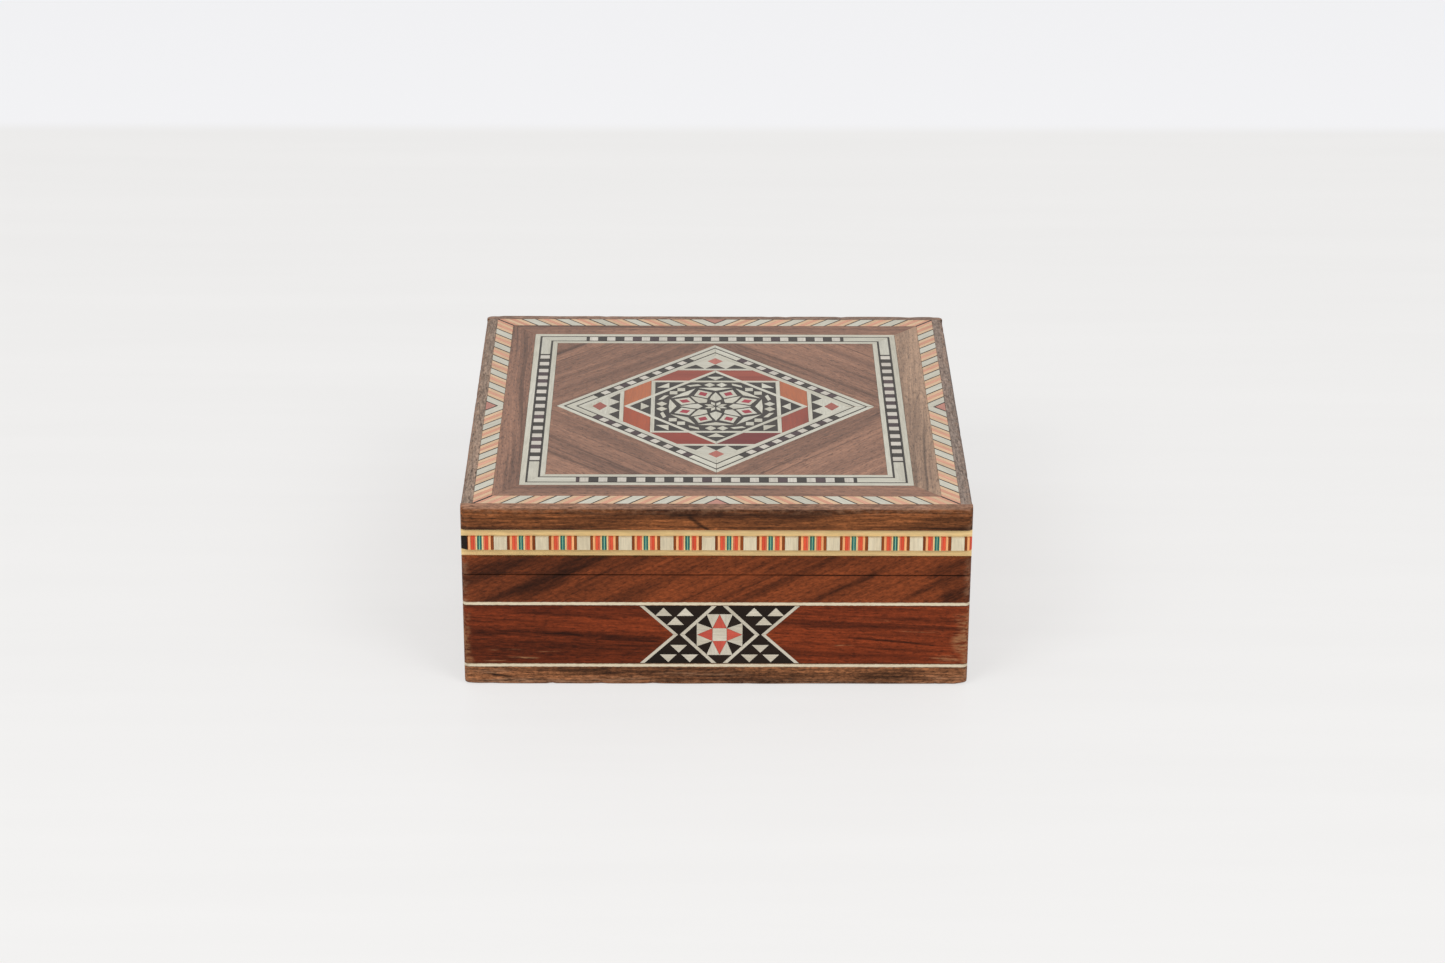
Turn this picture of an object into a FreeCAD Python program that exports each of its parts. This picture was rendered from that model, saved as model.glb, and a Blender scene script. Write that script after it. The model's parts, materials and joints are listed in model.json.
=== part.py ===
import FreeCAD, Part
import os
import re
import Sketcher
from FreeCAD import Placement, Rotation, Vector

# Inlaid wooden puzzle box, in millimetres.
# Origin: middle of the underside. X runs to the right, Y to the back, Z up.
# The two sliding panels hide the keyhole (front) and the key's niche (right side).

# Driving sizes
SIZES = {
    # Whole box and its layers, from the outside in
    "box_width": 120.0,
    "box_depth": 120.0,
    "wall_thick": 8.0,
    "face_thick": 3.2,
    "corner_round": 1.2,
    "edge_round": 0.9,
    # Heights, from the floor up
    "plinth_height": 4.8,
    "line_height": 0.9,
    "panel_height": 15.5,
    "rail_height": 7.2,
    "seam_gap": 0.2,
    "rim_height": 4.6,
    "mosaic_height": 7.0,
    "edge_height": 5.6,
    # Base, linings and fits
    "base_thick": 4.2,
    "base_rebate": 2.4,
    "lining_thick": 0.8,
    "lining_gap": 0.3,
    "slide_gap": 0.15,
    "fit_gap": 0.05,
    # White lines, mosaic and lid edge
    "line_depth": 1.4,
    "mosaic_depth": 1.2,
    "edge_width": 2.8,
    # Marquetry of the lid's top
    "inlay_thick": 0.9,
    "border_width": 4.3,
    "band_width": 6.1,
    "frame_line": 1.55,
    "frame_checker": 2.9,
    "lozenge_gap": 0.9,
    "lozenge_line": 1.25,
    "lozenge_checker": 2.2,
    "star_line": 1.05,
    # Bow-tie inlay of the panels
    "motif_shift": 0.8,
    "motif_half": 19.0,
    "motif_waist": 11.0,
    # Sliding panels and their stop pins
    "panel_travel": 66.0,
    "stop_inset": 12.0,
    "stop_radius": 0.9,
    "stop_reach": 1.2,
    "stop_depth": 2.6,
    # Hinges, set in a bevel along the back of the seam
    "hinge_inset": 3.6,
    "bevel_angle": 50.0,
    "hinge_place": 32.0,
    "hinge_length": 18.0,
    "knuckle_radius": 1.4,
    "knuckle_room": 0.3,
    "knuckle_length": 8.0,
    "knuckle_gap": 0.2,
    "leaf_width": 4.0,
    "leaf_thick": 0.7,
    "pin_radius": 0.6,
    "hinge_nail_place": 6.0,
    # Nails of the brass fittings
    "nail_radius": 0.4,
    "nail_length": 2.6,
    "nail_head_radius": 0.8,
    "nail_head": 0.3,
    # Lock in the front wall
    "lock_width": 24.0,
    "lock_height": 15.0,
    "lock_depth": 2.7,
    "lock_wall": 0.6,
    "lock_drop": 0.6,
    "cover_margin": 3.0,
    "cover_thick": 0.8,
    "keyhole_height": 4.7,
    "keyhole_radius": 1.9,
    "keyhole_slot": 1.6,
    "keyhole_drop": 3.7,
    "post_radius": 0.7,
    "plate_radius": 4.0,
    "plate_thick": 0.5,
    # Bolt, its spring and the catch on the lid
    "bolt_throw": 3.6,
    "bolt_thick": 0.9,
    "bolt_back": 0.6,
    "bolt_bar": 2.0,
    "bolt_lift": 1.4,
    "bolt_post": 4.0,
    "bolt_reach": 4.0,
    "talon_half": 1.4,
    "talon_depth": 1.2,
    "nose_gap": 0.35,
    "catch_half": 3.0,
    "catch_lip": 1.6,
    "catch_notch": 2.6,
    "catch_room": 0.45,
    "catch_plate": 16.0,
    "catch_plate_depth": 4.0,
    "catch_plate_set": 0.4,
    "spring_half": 3.0,
    "spring_thick": 0.25,
    "spring_gap": 0.2,
    # Key and its niche
    "niche_depth": 3.5,
    "niche_inset": 14.0,
    "niche_length": 42.0,
    "niche_height": 12.6,
    "key_length": 37.0,
    "shank_radius": 1.5,
    "bore_radius": 0.8,
    "bore_depth": 8.0,
    "bow_radius": 4.3,
    "bow_wire": 1.1,
    "collar_radius": 1.6,
    "collar_length": 1.4,
    "bit_length": 3.4,
    "bit_drop": 3.4,
    "bit_thick": 1.2,
}

# Places worked out from the driving sizes, each an expression of other names
PLACES = {
    "half_x": "box_width / 2",
    "half_y": "box_depth / 2",
    "wall_x": "half_x - face_thick",
    "wall_y": "half_y - face_thick",
    "room_x": "half_x - wall_thick",
    "room_y": "half_y - wall_thick",
    "groove_low": "plinth_height",
    "groove_high": "plinth_height + 2 * line_height + panel_height",
    "panel_mid": "(groove_low + groove_high) / 2",
    "seam": "groove_high + rail_height",
    "body_top": "seam - seam_gap / 2",
    "lid_low": "seam + seam_gap / 2",
    "mosaic_low": "seam + rim_height",
    "mosaic_high": "mosaic_low + mosaic_height",
    "lid_top": "mosaic_high + edge_height",
    "board_top": "lid_top - inlay_thick",
    "board_x": "half_x - edge_width",
    "board_y": "half_y - edge_width",
    "stop_x": "half_x - stop_inset",
    "stop_y": "half_y - stop_inset",
    "hinge_y": "half_y - hinge_inset",
    "lock_top": "body_top - lock_drop",
    "lock_low": "lock_top - lock_height",
    "lock_front": "-room_y - cover_thick - lock_depth",
    "lock_back": "-room_y - cover_thick",
    "key_z": "lock_low + keyhole_height",
    "bolt_front": "lock_back - bolt_back - bolt_thick",
    "bar_low": "key_z + bolt_lift",
    "bar_high": "bar_low + bolt_bar",
    "catch_low": "bar_high + nose_gap",
    "notch_low": "catch_low + catch_lip",
    "notch_high": "notch_low + catch_notch",
    "notch_end": "bolt_throw - catch_half",
    "nose_high": "notch_high - nose_gap",
    "bolt_left": "-lock_width / 2 + lock_wall + nose_gap",
    "nose_tip": "-catch_half - nose_gap",
    "niche_floor": "wall_x - niche_depth",
    "niche_front": "niche_inset - half_y",
    "key_x": "wall_x - niche_depth / 2",
    "key_front": "niche_front + slide_gap",
    "bow_y": "key_front + bow_radius + bow_wire",
    "collar_y": "bow_y + bow_radius",
    "key_tip": "key_front + key_length",
    "field_x": "board_x - border_width - band_width - 2 * frame_line - frame_checker",
    "field_y": "board_y - border_width - band_width - 2 * frame_line - frame_checker",
    "lozenge_side": "(min(field_x; field_y) - lozenge_gap) / sqrt(2)",
    "star_reach": "lozenge_side - 2 * lozenge_line - lozenge_checker",
    "star_half": "star_reach / sqrt(2)",
    "bar_top": "star_reach + star_line",
    "star_inner": "star_half - star_line",
    "star_point": "star_inner * sqrt(2)",
}

doc = FreeCAD.newDocument("puzzle_box")
sheet = doc.addObject("Spreadsheet::Sheet", "Sizes")
for row, (size_name, size) in enumerate(SIZES.items(), start=1):
    sheet.set(f"A{row}", size_name)
    sheet.set(f"B{row}", str(size))
    sheet.setAlias(f"B{row}", size_name)
doc.recompute()

pieces = []


# Expressions

def formula(text):
    """The expression with every place written out in the sheet's own names."""
    def written_out(match):
        name = match.group(0)
        if name in PLACES:
            return "(" + formula(PLACES[name]) + ")"
        if name in SIZES:
            return "Sizes." + name
        return name
    return re.sub(r"[a-z_]+", written_out, str(text))


def measure(text):
    """The expression's value now, to start a sketch close to its shape."""
    return float(sheet.evalExpression(formula(text)))


def bind(thing, **expressions):
    """Ties properties to expressions; a double underscore in a name stands for a dot."""
    for name, text in expressions.items():
        thing.setExpression(name.replace("__", "."), formula(text))


# Primitives and booleans

def block(name, x, y, z):
    """A box between two planes on each axis."""
    box = doc.addObject("Part::Box", name)
    bind(box, Length=f"{x[1]} - ({x[0]})", Width=f"{y[1]} - ({y[0]})", Height=f"{z[1]} - ({z[0]})")
    bind(box, Placement__Base__x=x[0], Placement__Base__y=y[0], Placement__Base__z=z[0])
    return box


def centred(half):
    """The two planes at the same distance on either side of the middle."""
    return (f"-({half})", half)


TURNS = {"x": Rotation(Vector(0, 1, 0), 90), "y": Rotation(Vector(1, 0, 0), -90), "z": Rotation()}


def rod(name, start, axis, length, radius):
    """A cylinder from a start point along an axis."""
    cylinder = doc.addObject("Part::Cylinder", name)
    cylinder.Placement = Placement(Vector(), TURNS[axis])
    bind(cylinder, Radius=radius, Height=length)
    bind(cylinder, Placement__Base__x=start[0], Placement__Base__y=start[1], Placement__Base__z=start[2])
    return cylinder


def strip(name, low, high, y, z, turn=0):
    """A flat piece with straight sides: its X span at the near edge and at the far edge, turned about Z."""
    wedge = doc.addObject("Part::Wedge", name)
    bind(wedge, Xmin=low[0], Xmax=low[1], X2min=high[0], X2max=high[1])
    bind(wedge, Ymin=y[0], Ymax=y[1], Zmin=z[0], Zmax=z[1], Z2min=z[0], Z2max=z[1])
    wedge.Placement = Placement(Vector(), Rotation(Vector(0, 0, 1), turn))
    return wedge


def cut(name, base, *tools):
    """The base with every tool taken away, one after the other."""
    for number, tool in enumerate(tools):
        result = doc.addObject("Part::Cut", f"{name}_cut{number}")
        result.Base = base
        result.Tool = tool
        base = result
    return base


def fuse(name, *shapes):
    joined = doc.addObject("Part::MultiFuse", name)
    joined.Shapes = list(shapes)
    joined.Refine = True
    return joined


def common(name, first, second):
    shared = doc.addObject("Part::Common", name)
    shared.Base = first
    shared.Tool = second
    return shared


def together(name, shapes):
    """Several separate solids in one piece."""
    compound = doc.addObject("Part::Compound", name)
    compound.Links = list(shapes)
    return compound


def piece(label, thing):
    """Names a finished sub-part, which is written to its own file."""
    thing.Label = label
    pieces.append(thing)
    return thing


# Sketched bodies

def new_body(name):
    return doc.addObject("PartDesign::Body", name)


def outline(body, name, role, corners, offset="0"):
    """A closed straight-sided sketch on an origin plane, with every corner bound to the sheet."""
    sketch = body.newObject("Sketcher::SketchObject", name)
    plane = next(part for part in body.Origin.OriginFeatures if part.Role == role)
    sketch.AttachmentSupport = [(plane, "")]
    sketch.MapMode = "FlatFace"
    bind(sketch, AttachmentOffset__Base__z=offset)
    points = [Vector(measure(u), measure(v), 0) for u, v in corners]
    count = len(points)
    for index in range(count):
        sketch.addGeometry(Part.LineSegment(points[index], points[(index + 1) % count]))
    for index in range(count):
        sketch.addConstraint(Sketcher.Constraint("Coincident", index, 2, (index + 1) % count, 1))
    for index, (u, v) in enumerate(corners):
        for kind, text, now in (("DistanceX", u, points[index].x), ("DistanceY", v, points[index].y)):
            number = sketch.addConstraint(Sketcher.Constraint(kind, -1, 1, index, 1, now))
            sketch.setExpression(f"Constraints[{number}]", formula(text))
    return sketch


def pad(body, name, sketch, length, reverse=False):
    feature = body.newObject("PartDesign::Pad", name)
    feature.Profile = sketch
    feature.Reversed = reverse
    bind(feature, Length=length)
    return feature


def pocket(body, name, sketch, length, reverse=False):
    feature = body.newObject("PartDesign::Pocket", name)
    feature.Profile = sketch
    feature.Reversed = reverse
    bind(feature, Length=length)
    return feature


def rectangle(x, z):
    return [(x[0], z[0]), (x[1], z[0]), (x[1], z[1]), (x[0], z[1])]


# Nails, and the holes that take them

def nail(name, place, axis, inward, room="0"):
    """A nail with its head's top at the place, driven along the axis; room widens it into a hole."""
    spot = {"x": place[0], "y": place[1], "z": place[2]}
    parts = []
    sizes = (("shank", "nail_length", "nail_radius"), ("head", "nail_head", "nail_head_radius"))
    for part, length, radius in sizes:
        start = dict(spot)
        if inward < 0:
            start[axis] = f"{spot[axis]} - ({length}) - ({room})"
        size = f"{length} + {room}"
        parts.append(rod(f"{name}_{part}", tuple(start.values()), axis, size, f"{radius} + {room}"))
    return fuse(name, *parts)


def nails(name, places, axis, inward):
    """The nails at these places, and one tool that cuts all their holes."""
    solid = [nail(f"{name}_{i}", place, axis, inward) for i, place in enumerate(places)]
    holes = [nail(f"{name}_hole_{i}", place, axis, inward, "fit_gap") for i, place in enumerate(places)]
    return solid, fuse(f"{name}_holes", *holes)


# The sanded outside, which rounds every outer piece alike

def edge_names(shape, upright):
    """Names of the shape's upright edges, or of those that lie level."""
    rises = [edge.BoundBox.ZLength > measure("fit_gap") for edge in shape.Edges]
    return [f"Edge{number}" for number, rising in enumerate(rises, start=1) if rising == upright]


def round_edges(body, name, base, upright, radius):
    doc.recompute()
    rounded = body.newObject("PartDesign::Fillet", name)
    rounded.Base = (base, edge_names(base.Shape, upright))
    bind(rounded, Radius=radius)
    return rounded


def sanded_outside():
    """A block of the whole box with its corners and then its top and bottom edges rounded."""
    body = new_body("outside")
    plan = outline(body, "outside_plan", "XY_Plane", rectangle(centred("half_x"), centred("half_y")))
    solid = pad(body, "outside_pad", plan, "lid_top")
    corners = round_edges(body, "outside_corners", solid, True, "corner_round")
    round_edges(body, "outside_edges", corners, False, "edge_round")
    return body


outside = sanded_outside()

SIDES = ("front", "right", "back", "left")


def sanded(label, thing):
    return piece(label, common(f"{label}_sanded", thing, outside))


def layer(name, side, depth, z):
    """A strip of the outer layer: the front and the sides run over the corners that panels leave by."""
    near = f"half_y - ({depth})"
    near_x = f"half_x - ({depth})"
    spans = {
        "front": (centred("half_x"), ("-half_y", f"-({near})")),
        "right": ((near_x, "half_x"), ("-wall_y", "half_y")),
        "left": (("-half_x", f"-({near_x})"), ("-wall_y", "half_y")),
        "back": (centred("wall_x"), (near, "half_y")),
    }
    return block(name, *spans[side], z)


# Cuts along the back for the hinges

def bevel(name, low):
    """A block whose face is the bevel of the body (low) or of the lid."""
    reach = "3 * hinge_inset"
    box = block(name, centred("half_x + hinge_inset"), ("hinge_y", f"hinge_y + {reach}"),
                ("seam", f"seam + {reach}"))
    turn = "-bevel_angle" if low else "bevel_angle"
    box.Placement = Placement(Vector(), Rotation(Vector(1, 0, 0), measure(turn)))
    bind(box, Placement__Rotation__Angle=turn)
    if not low:
        bind(box, Placement__Base__y=f"hinge_y + {reach} * sin(bevel_angle)",
             Placement__Base__z=f"seam - {reach} * cos(bevel_angle)")
    return box


HINGES = {"left": "-hinge_place", "right": "hinge_place"}


def hinge_recesses(name, z):
    """Room for the knuckles and a mortise for the leaf of each hinge."""
    tools = []
    for side, middle in HINGES.items():
        half = "hinge_length / 2 + fit_gap"
        span = (f"{middle} - ({half})", f"{middle} + {half}")
        tools.append(rod(f"{name}_{side}_round", (span[0], "hinge_y", "seam"), "x", f"2 * ({half})",
                         "knuckle_radius + knuckle_room"))
        tools.append(block(f"{name}_{side}_mortise", span, ("hinge_y - leaf_width - fit_gap", "hinge_y"), z))
    return fuse(name, *tools)


body_bevel = bevel("body_bevel", low=True)
lid_bevel = bevel("lid_bevel", low=False)
body_leaf_z = ("body_top - leaf_thick", "body_top")
lid_leaf_z = ("lid_low", "lid_low + leaf_thick")
body_recesses = hinge_recesses("body_recesses", body_leaf_z)
lid_recesses = hinge_recesses("lid_recesses", lid_leaf_z)

# Nails: four in the lock's cover, two in each leaf and two in the catch
hinge_nail_y = "hinge_y - leaf_width + nail_head_radius + fit_gap * 2"
hinge_nail_x = [f"{middle} {sign} hinge_nail_place" for middle in HINGES.values() for sign in "-+"]
body_hinge_nails, body_hinge_holes = nails(
    "body_hinge_nail", [(x, hinge_nail_y, "body_top") for x in hinge_nail_x], "z", -1)
lid_hinge_nails, lid_hinge_holes = nails(
    "lid_hinge_nail", [(x, hinge_nail_y, "lid_low") for x in hinge_nail_x], "z", 1)
cover_half = "lock_width / 2 + cover_margin"
cover_nail_x = "lock_width / 2 + cover_margin / 2"
cover_nails, cover_holes = nails(
    "cover_nail", [(f"{side} * ({cover_nail_x})", "-room_y", z) for side in (-1, 1)
                   for z in ("lock_top - cover_margin", "lock_low - cover_margin / 2")], "y", -1)
catch_nail_x = "(catch_half + catch_plate / 2) / 2"
catch_y = ("-room_y - catch_plate_set - catch_plate_depth", "-room_y - catch_plate_set")
catch_nail_y = "-room_y - catch_plate_set - catch_plate_depth / 2"
catch_nails, catch_holes = nails(
    "catch_nail", [(f"{side} * ({catch_nail_x})", catch_nail_y, "lid_low") for side in (-1, 1)], "z", 1)


# Carcass

def keyhole(name, y, room="0"):
    """The keyhole as a tool along Y: a round hole with a slot under it."""
    length = f"{y[1]} - ({y[0]})"
    round_hole = rod(f"{name}_round", ("0", y[0], "key_z"), "y", length, f"keyhole_radius + {room}")
    slot = block(f"{name}_slot", centred(f"keyhole_slot / 2 + {room}"), y,
                 (f"key_z - keyhole_drop - {room}", "key_z"))
    return fuse(name, round_hole, slot)


def escutcheon(name, room):
    """The oval plate round the keyhole, let into the front wall."""
    y = ("-wall_y", "-wall_y + plate_thick")
    radius = f"plate_radius + {room}"
    low = "key_z - keyhole_drop / 2"
    top = rod(f"{name}_top", ("0", y[0], "key_z"), "y", "plate_thick", radius)
    foot = rod(f"{name}_foot", ("0", y[0], low), "y", "plate_thick", radius)
    waist = block(f"{name}_waist", centred(radius), y, (low, "key_z"))
    return fuse(name, top, foot, waist)


def carcass():
    rebate = block("base_rebate_tool", centred("room_x + base_rebate"), centred("room_y + base_rebate"),
                   ("0", "base_thick"))
    piece("base_board", block("base", centred("room_x + base_rebate"), centred("room_y + base_rebate"),
                              ("0", "base_thick")))
    full = ("0", "body_top")
    lock_room = block("lock_room", centred("lock_width / 2 + fit_gap"), ("lock_front - fit_gap", "-room_y"),
                      ("lock_low - fit_gap", "body_top"))
    cover_room = block("cover_room", centred(f"{cover_half} + fit_gap"), ("lock_back", "-room_y"),
                       ("lock_low - cover_margin - fit_gap", "body_top"))
    front = block("front_core", centred("wall_x"), ("-wall_y", "-room_y"), full)
    plate_room = escutcheon("plate_room", "fit_gap")
    key_way = keyhole("front_keyhole", ("-wall_y", "lock_front"), "fit_gap")
    piece("front_wall", cut("front_wall", front, rebate, lock_room, cover_room, cover_holes,
                            stop_tools["front"], plate_room, key_way))
    back = block("back_core", centred("wall_x"), ("room_y", "wall_y"), full)
    piece("back_wall", cut("back_wall", back, rebate, body_bevel, body_recesses, body_hinge_holes))
    left = block("left_core", ("-wall_x", "-room_x"), centred("room_y"), full)
    piece("left_wall", cut("left_wall", left, rebate))
    right = block("right_core", ("room_x", "wall_x"), centred("room_y"), full)
    niche = block("niche", ("niche_floor", "wall_x"), ("niche_front", "niche_front + niche_length"),
                  ("panel_mid - niche_height / 2", "panel_mid + niche_height / 2"))
    piece("right_wall", cut("right_wall", right, rebate, niche, stop_tools["right"]))


def stop_pins():
    """A pin in the wall behind each sliding panel, and the hole that takes it."""
    pins = []
    tools = {}
    reach = "stop_depth + stop_reach"
    for name, room in (("pin", "0"), ("hole", "fit_gap")):
        front = rod(f"front_stop_{name}", ("stop_x", "-wall_y - stop_reach", "panel_mid"), "y",
                    f"{reach} + {room}", f"stop_radius + {room}")
        right = rod(f"right_stop_{name}", (f"wall_x - stop_depth - {room}", "stop_y", "panel_mid"), "x",
                    f"{reach} + {room}", f"stop_radius + {room}")
        if name == "pin":
            pins = [front, right]
        else:
            tools = {"front": front, "right": right}
    piece("stop_pins", together("stop_pins", pins))
    return tools


def outer_layers():
    """Plinth strips, white lines and rails round the body."""
    lines = {"lower": ("groove_low", "groove_low + line_height"),
             "upper": ("groove_high - line_height", "groove_high")}
    for side in SIDES:
        sanded(f"{side}_plinth", layer(f"{side}_plinth_strip", side, "face_thick", ("0", "groove_low")))
        rail = layer(f"{side}_rail_strip", side, "face_thick", ("groove_high", "body_top"))
        if side == "back":
            rail = cut("back_rail", rail, body_bevel, body_recesses)
        elif side != "front":
            rail = cut(f"{side}_rail", rail, body_bevel)
        sanded(f"{side}_rail", rail)
    for level, z in lines.items():
        strips = [layer(f"{level}_line_{side}", side, "line_depth", z) for side in SIDES]
        sanded(f"{level}_white_lines", together(f"{level}_lines", strips))


# Panels between the white lines: a face and, behind the lines, a wider tongue

PANEL_TURN = {"front": 0, "right": 90, "back": 180, "left": -90}
PANEL_MOVE = {"front": ("0", "-half_y"), "right": ("half_x", "0"),
              "back": ("0", "half_y"), "left": ("-half_x", "0")}


def face_low(gap):
    return f"groove_low + line_height + {gap}"


def face_high(gap):
    return f"groove_high - line_height - {gap}"


def motif_corners(gap):
    """The bow tie's outline on the panel's face."""
    low = face_low(gap)
    high = face_high(gap)
    return [("motif_shift - motif_half", low), ("motif_shift + motif_half", low),
            ("motif_shift + motif_waist", "panel_mid"), ("motif_shift + motif_half", high),
            ("motif_shift - motif_half", high), ("motif_shift - motif_waist", "panel_mid")]


def place_on_side(body, side):
    body.Placement = Placement(Vector(), Rotation(Vector(0, 0, 1), PANEL_TURN[side]))
    bind(body, Placement__Base__x=PANEL_MOVE[side][0], Placement__Base__y=PANEL_MOVE[side][1])


def panel(side, span, gap, stop=None):
    """A panel drawn as on the front: X along it, Y inward from its face; then turned to its side."""
    body = new_body(f"{side}_panel_body")
    step = f"line_depth + {gap}"
    back = f"face_thick - {gap}"
    section = [("0", face_low(gap)), (step, face_low(gap)), (step, f"groove_low + {gap}"),
               (back, f"groove_low + {gap}"), (back, f"groove_high - {gap}"), (step, f"groove_high - {gap}"),
               (step, face_high(gap)), ("0", face_high(gap))]
    profile = outline(body, f"{side}_panel_section", "YZ_Plane", section, span[0])
    pad(body, f"{side}_panel_pad", profile, f"{span[1]} - ({span[0]})")
    recess = outline(body, f"{side}_motif_recess", "XZ_Plane", motif_corners(gap))
    pocket(body, f"{side}_motif_pocket", recess, "inlay_thick")
    if stop:
        half = f"stop_radius + {gap}"
        slot = rectangle((f"{stop} - panel_travel - ({half})", f"{stop} + {half}"),
                         (f"panel_mid - ({half})", f"panel_mid + {half}"))
        groove = outline(body, f"{side}_slot", "XZ_Plane", slot, f"-({back})")
        pocket(body, f"{side}_slot_pocket", groove, "stop_reach + fit_gap", reverse=True)
    place_on_side(body, side)
    sanded(f"{side}_panel", body)
    inlay = new_body(f"{side}_motif_body")
    pad(inlay, f"{side}_motif_pad", outline(inlay, f"{side}_motif_plan", "XZ_Plane", motif_corners(gap)),
        "inlay_thick", reverse=True)
    place_on_side(inlay, side)
    return inlay


def panels():
    """The front and right panels slide; the left and back ones are fixed."""
    piece("front_bow_tie", panel("front", centred("half_x"), "slide_gap", "stop_x"))
    piece("right_bow_tie", panel("right", ("-wall_y + slide_gap", "half_y"), "slide_gap", "stop_y"))
    left = panel("left", ("-half_y", "wall_y"), "fit_gap")
    back = panel("back", centred("wall_x"), "fit_gap")
    piece("fixed_bow_ties", together("fixed_bow_ties", [left, back]))


# Lid

def lid_rims():
    """Four rims, rebated for the mosaic; the back one is bevelled for the hinges."""
    high = ("lid_low", "mosaic_high")
    band = ("mosaic_low", "mosaic_high")
    ring_in = block("ring_in", centred("half_x - mosaic_depth"), centred("half_y - mosaic_depth"), band)
    ring = cut("mosaic_ring", block("ring_out", centred("half_x"), centred("half_y"), band), ring_in)
    catch_room = block("catch_room_tool", centred("catch_plate / 2 + fit_gap"), catch_y, lid_leaf_z)
    spans = {
        "front": (centred("half_x"), ("-half_y", "-room_y")),
        "right": (("room_x", "half_x"), centred("room_y")),
        "back": (centred("half_x"), ("room_y", "half_y")),
        "left": (("-half_x", "-room_x"), centred("room_y")),
    }
    extra = {"front": (catch_room, catch_holes), "back": (lid_bevel, lid_recesses, lid_hinge_holes)}
    for side in SIDES:
        rim = block(f"{side}_rim", *spans[side], high)
        sanded(f"lid_{side}_rim", cut(f"{side}_rim", rim, ring, *extra.get(side, ())))


def lid_outside():
    """The mosaic bands and the walnut strips along the top edge."""
    bands = {
        "front": (centred("half_x"), ("-half_y", "-half_y + mosaic_depth")),
        "right": (("half_x - mosaic_depth", "half_x"), centred("half_y - mosaic_depth")),
        "back": (centred("half_x"), ("half_y - mosaic_depth", "half_y")),
        "left": (("-half_x", "-half_x + mosaic_depth"), centred("half_y - mosaic_depth")),
    }
    strips = {
        "front": (centred("half_x"), ("-half_y", "-board_y")),
        "right": (("board_x", "half_x"), centred("board_y")),
        "back": (centred("half_x"), ("board_y", "half_y")),
        "left": (("-half_x", "-board_x"), centred("board_y")),
    }
    mosaic = [block(f"{side}_band", *bands[side], ("mosaic_low", "mosaic_high")) for side in SIDES]
    sanded("mosaic_bands", together("mosaic_ring_bands", mosaic))
    for side in SIDES:
        sanded(f"lid_{side}_edge", block(f"{side}_edge", *strips[side], ("mosaic_high", "lid_top")))
    piece("lid_board", block("board", centred("board_x"), centred("board_y"), ("mosaic_high", "board_top")))


def linings():
    """Felt under the lid board and on the base board."""
    plan = (centred("room_x - lining_gap"), centred("room_y - lining_gap"))
    piece("lid_lining", block("lid_felt", *plan, ("mosaic_high - lining_thick", "mosaic_high")))
    piece("floor_lining", block("floor_felt", *plan, ("base_thick", "base_thick + lining_thick")))


# Marquetry of the lid's top

INLAY_Z = ("board_top", "lid_top")
QUARTERS = (0, 90, 180, 270)
EIGHTHS = tuple(45 * step for step in range(8))


def mitred_frame(name, half_x, half_y, width, turn=0):
    """Four strips round a rectangle, mitred at the corners."""
    strips = []
    for quarter in QUARTERS:
        along, across = (half_x, half_y) if quarter in (0, 180) else (half_y, half_x)
        outer = centred(along)
        inner = centred(f"{along} - ({width})")
        y = (f"-({across})", f"-({across}) + {width}")
        strips.append(strip(f"{name}_{quarter}", outer, inner, y, INLAY_Z, turn + quarter))
    return strips


def top_frames():
    """The frames from the edge inward: border, walnut band, white lines and checker run."""
    widths = (("striped_border", "border_width"), ("walnut_band", "band_width"), ("outer_line", "frame_line"),
              ("frame_checker_run", "frame_checker"), ("inner_line", "frame_line"))
    used = "0"
    made = {}
    for name, width in widths:
        made[name] = mitred_frame(name, f"board_x - ({used})", f"board_y - ({used})", width)
        used = f"{used} + {width}"
    for name in ("striped_border", "walnut_band", "frame_checker_run"):
        piece(name, together(name, made[name]))
    piece("frame_lines", together("frame_lines", made["outer_line"] + made["inner_line"]))


def corner_fields():
    """Four walnut fields between the frame and the lozenge."""
    fields = []
    hole = block("lozenge_hole", centred("lozenge_side"), centred("lozenge_side"), INLAY_Z)
    hole.Placement = Placement(Vector(), Rotation(Vector(0, 0, 1), 45))
    bind(hole, Placement__Base__x="0", Placement__Base__y="-lozenge_side * sqrt(2)")
    for x in (("-field_x", "0"), ("0", "field_x")):
        for y in (("-field_y", "0"), ("0", "field_y")):
            number = len(fields)
            fields.append(cut(f"field_{number}", block(f"field_{number}_block", x, y, INLAY_Z), hole))
    piece("corner_fields", together("corner_fields", fields))


def lozenge():
    """The lozenge's lines and checker run, turned by half a right angle."""
    diagonal = 45
    outer = mitred_frame("lozenge_out", "lozenge_side", "lozenge_side", "lozenge_line", diagonal)
    side = "lozenge_side - lozenge_line"
    run = mitred_frame("lozenge_run", side, side, "lozenge_checker", diagonal)
    side = "lozenge_side - lozenge_line - lozenge_checker"
    inner = mitred_frame("lozenge_in", side, side, "lozenge_line", diagonal)
    piece("lozenge_lines", together("lozenge_lines", outer + inner))
    piece("lozenge_checker_run", together("lozenge_checker_run", run))


def square_line(name, turn):
    """One of the star's two squares, drawn as a line."""
    return fuse(name, *mitred_frame(name, "star_half", "star_half", "star_line", turn))


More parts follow.
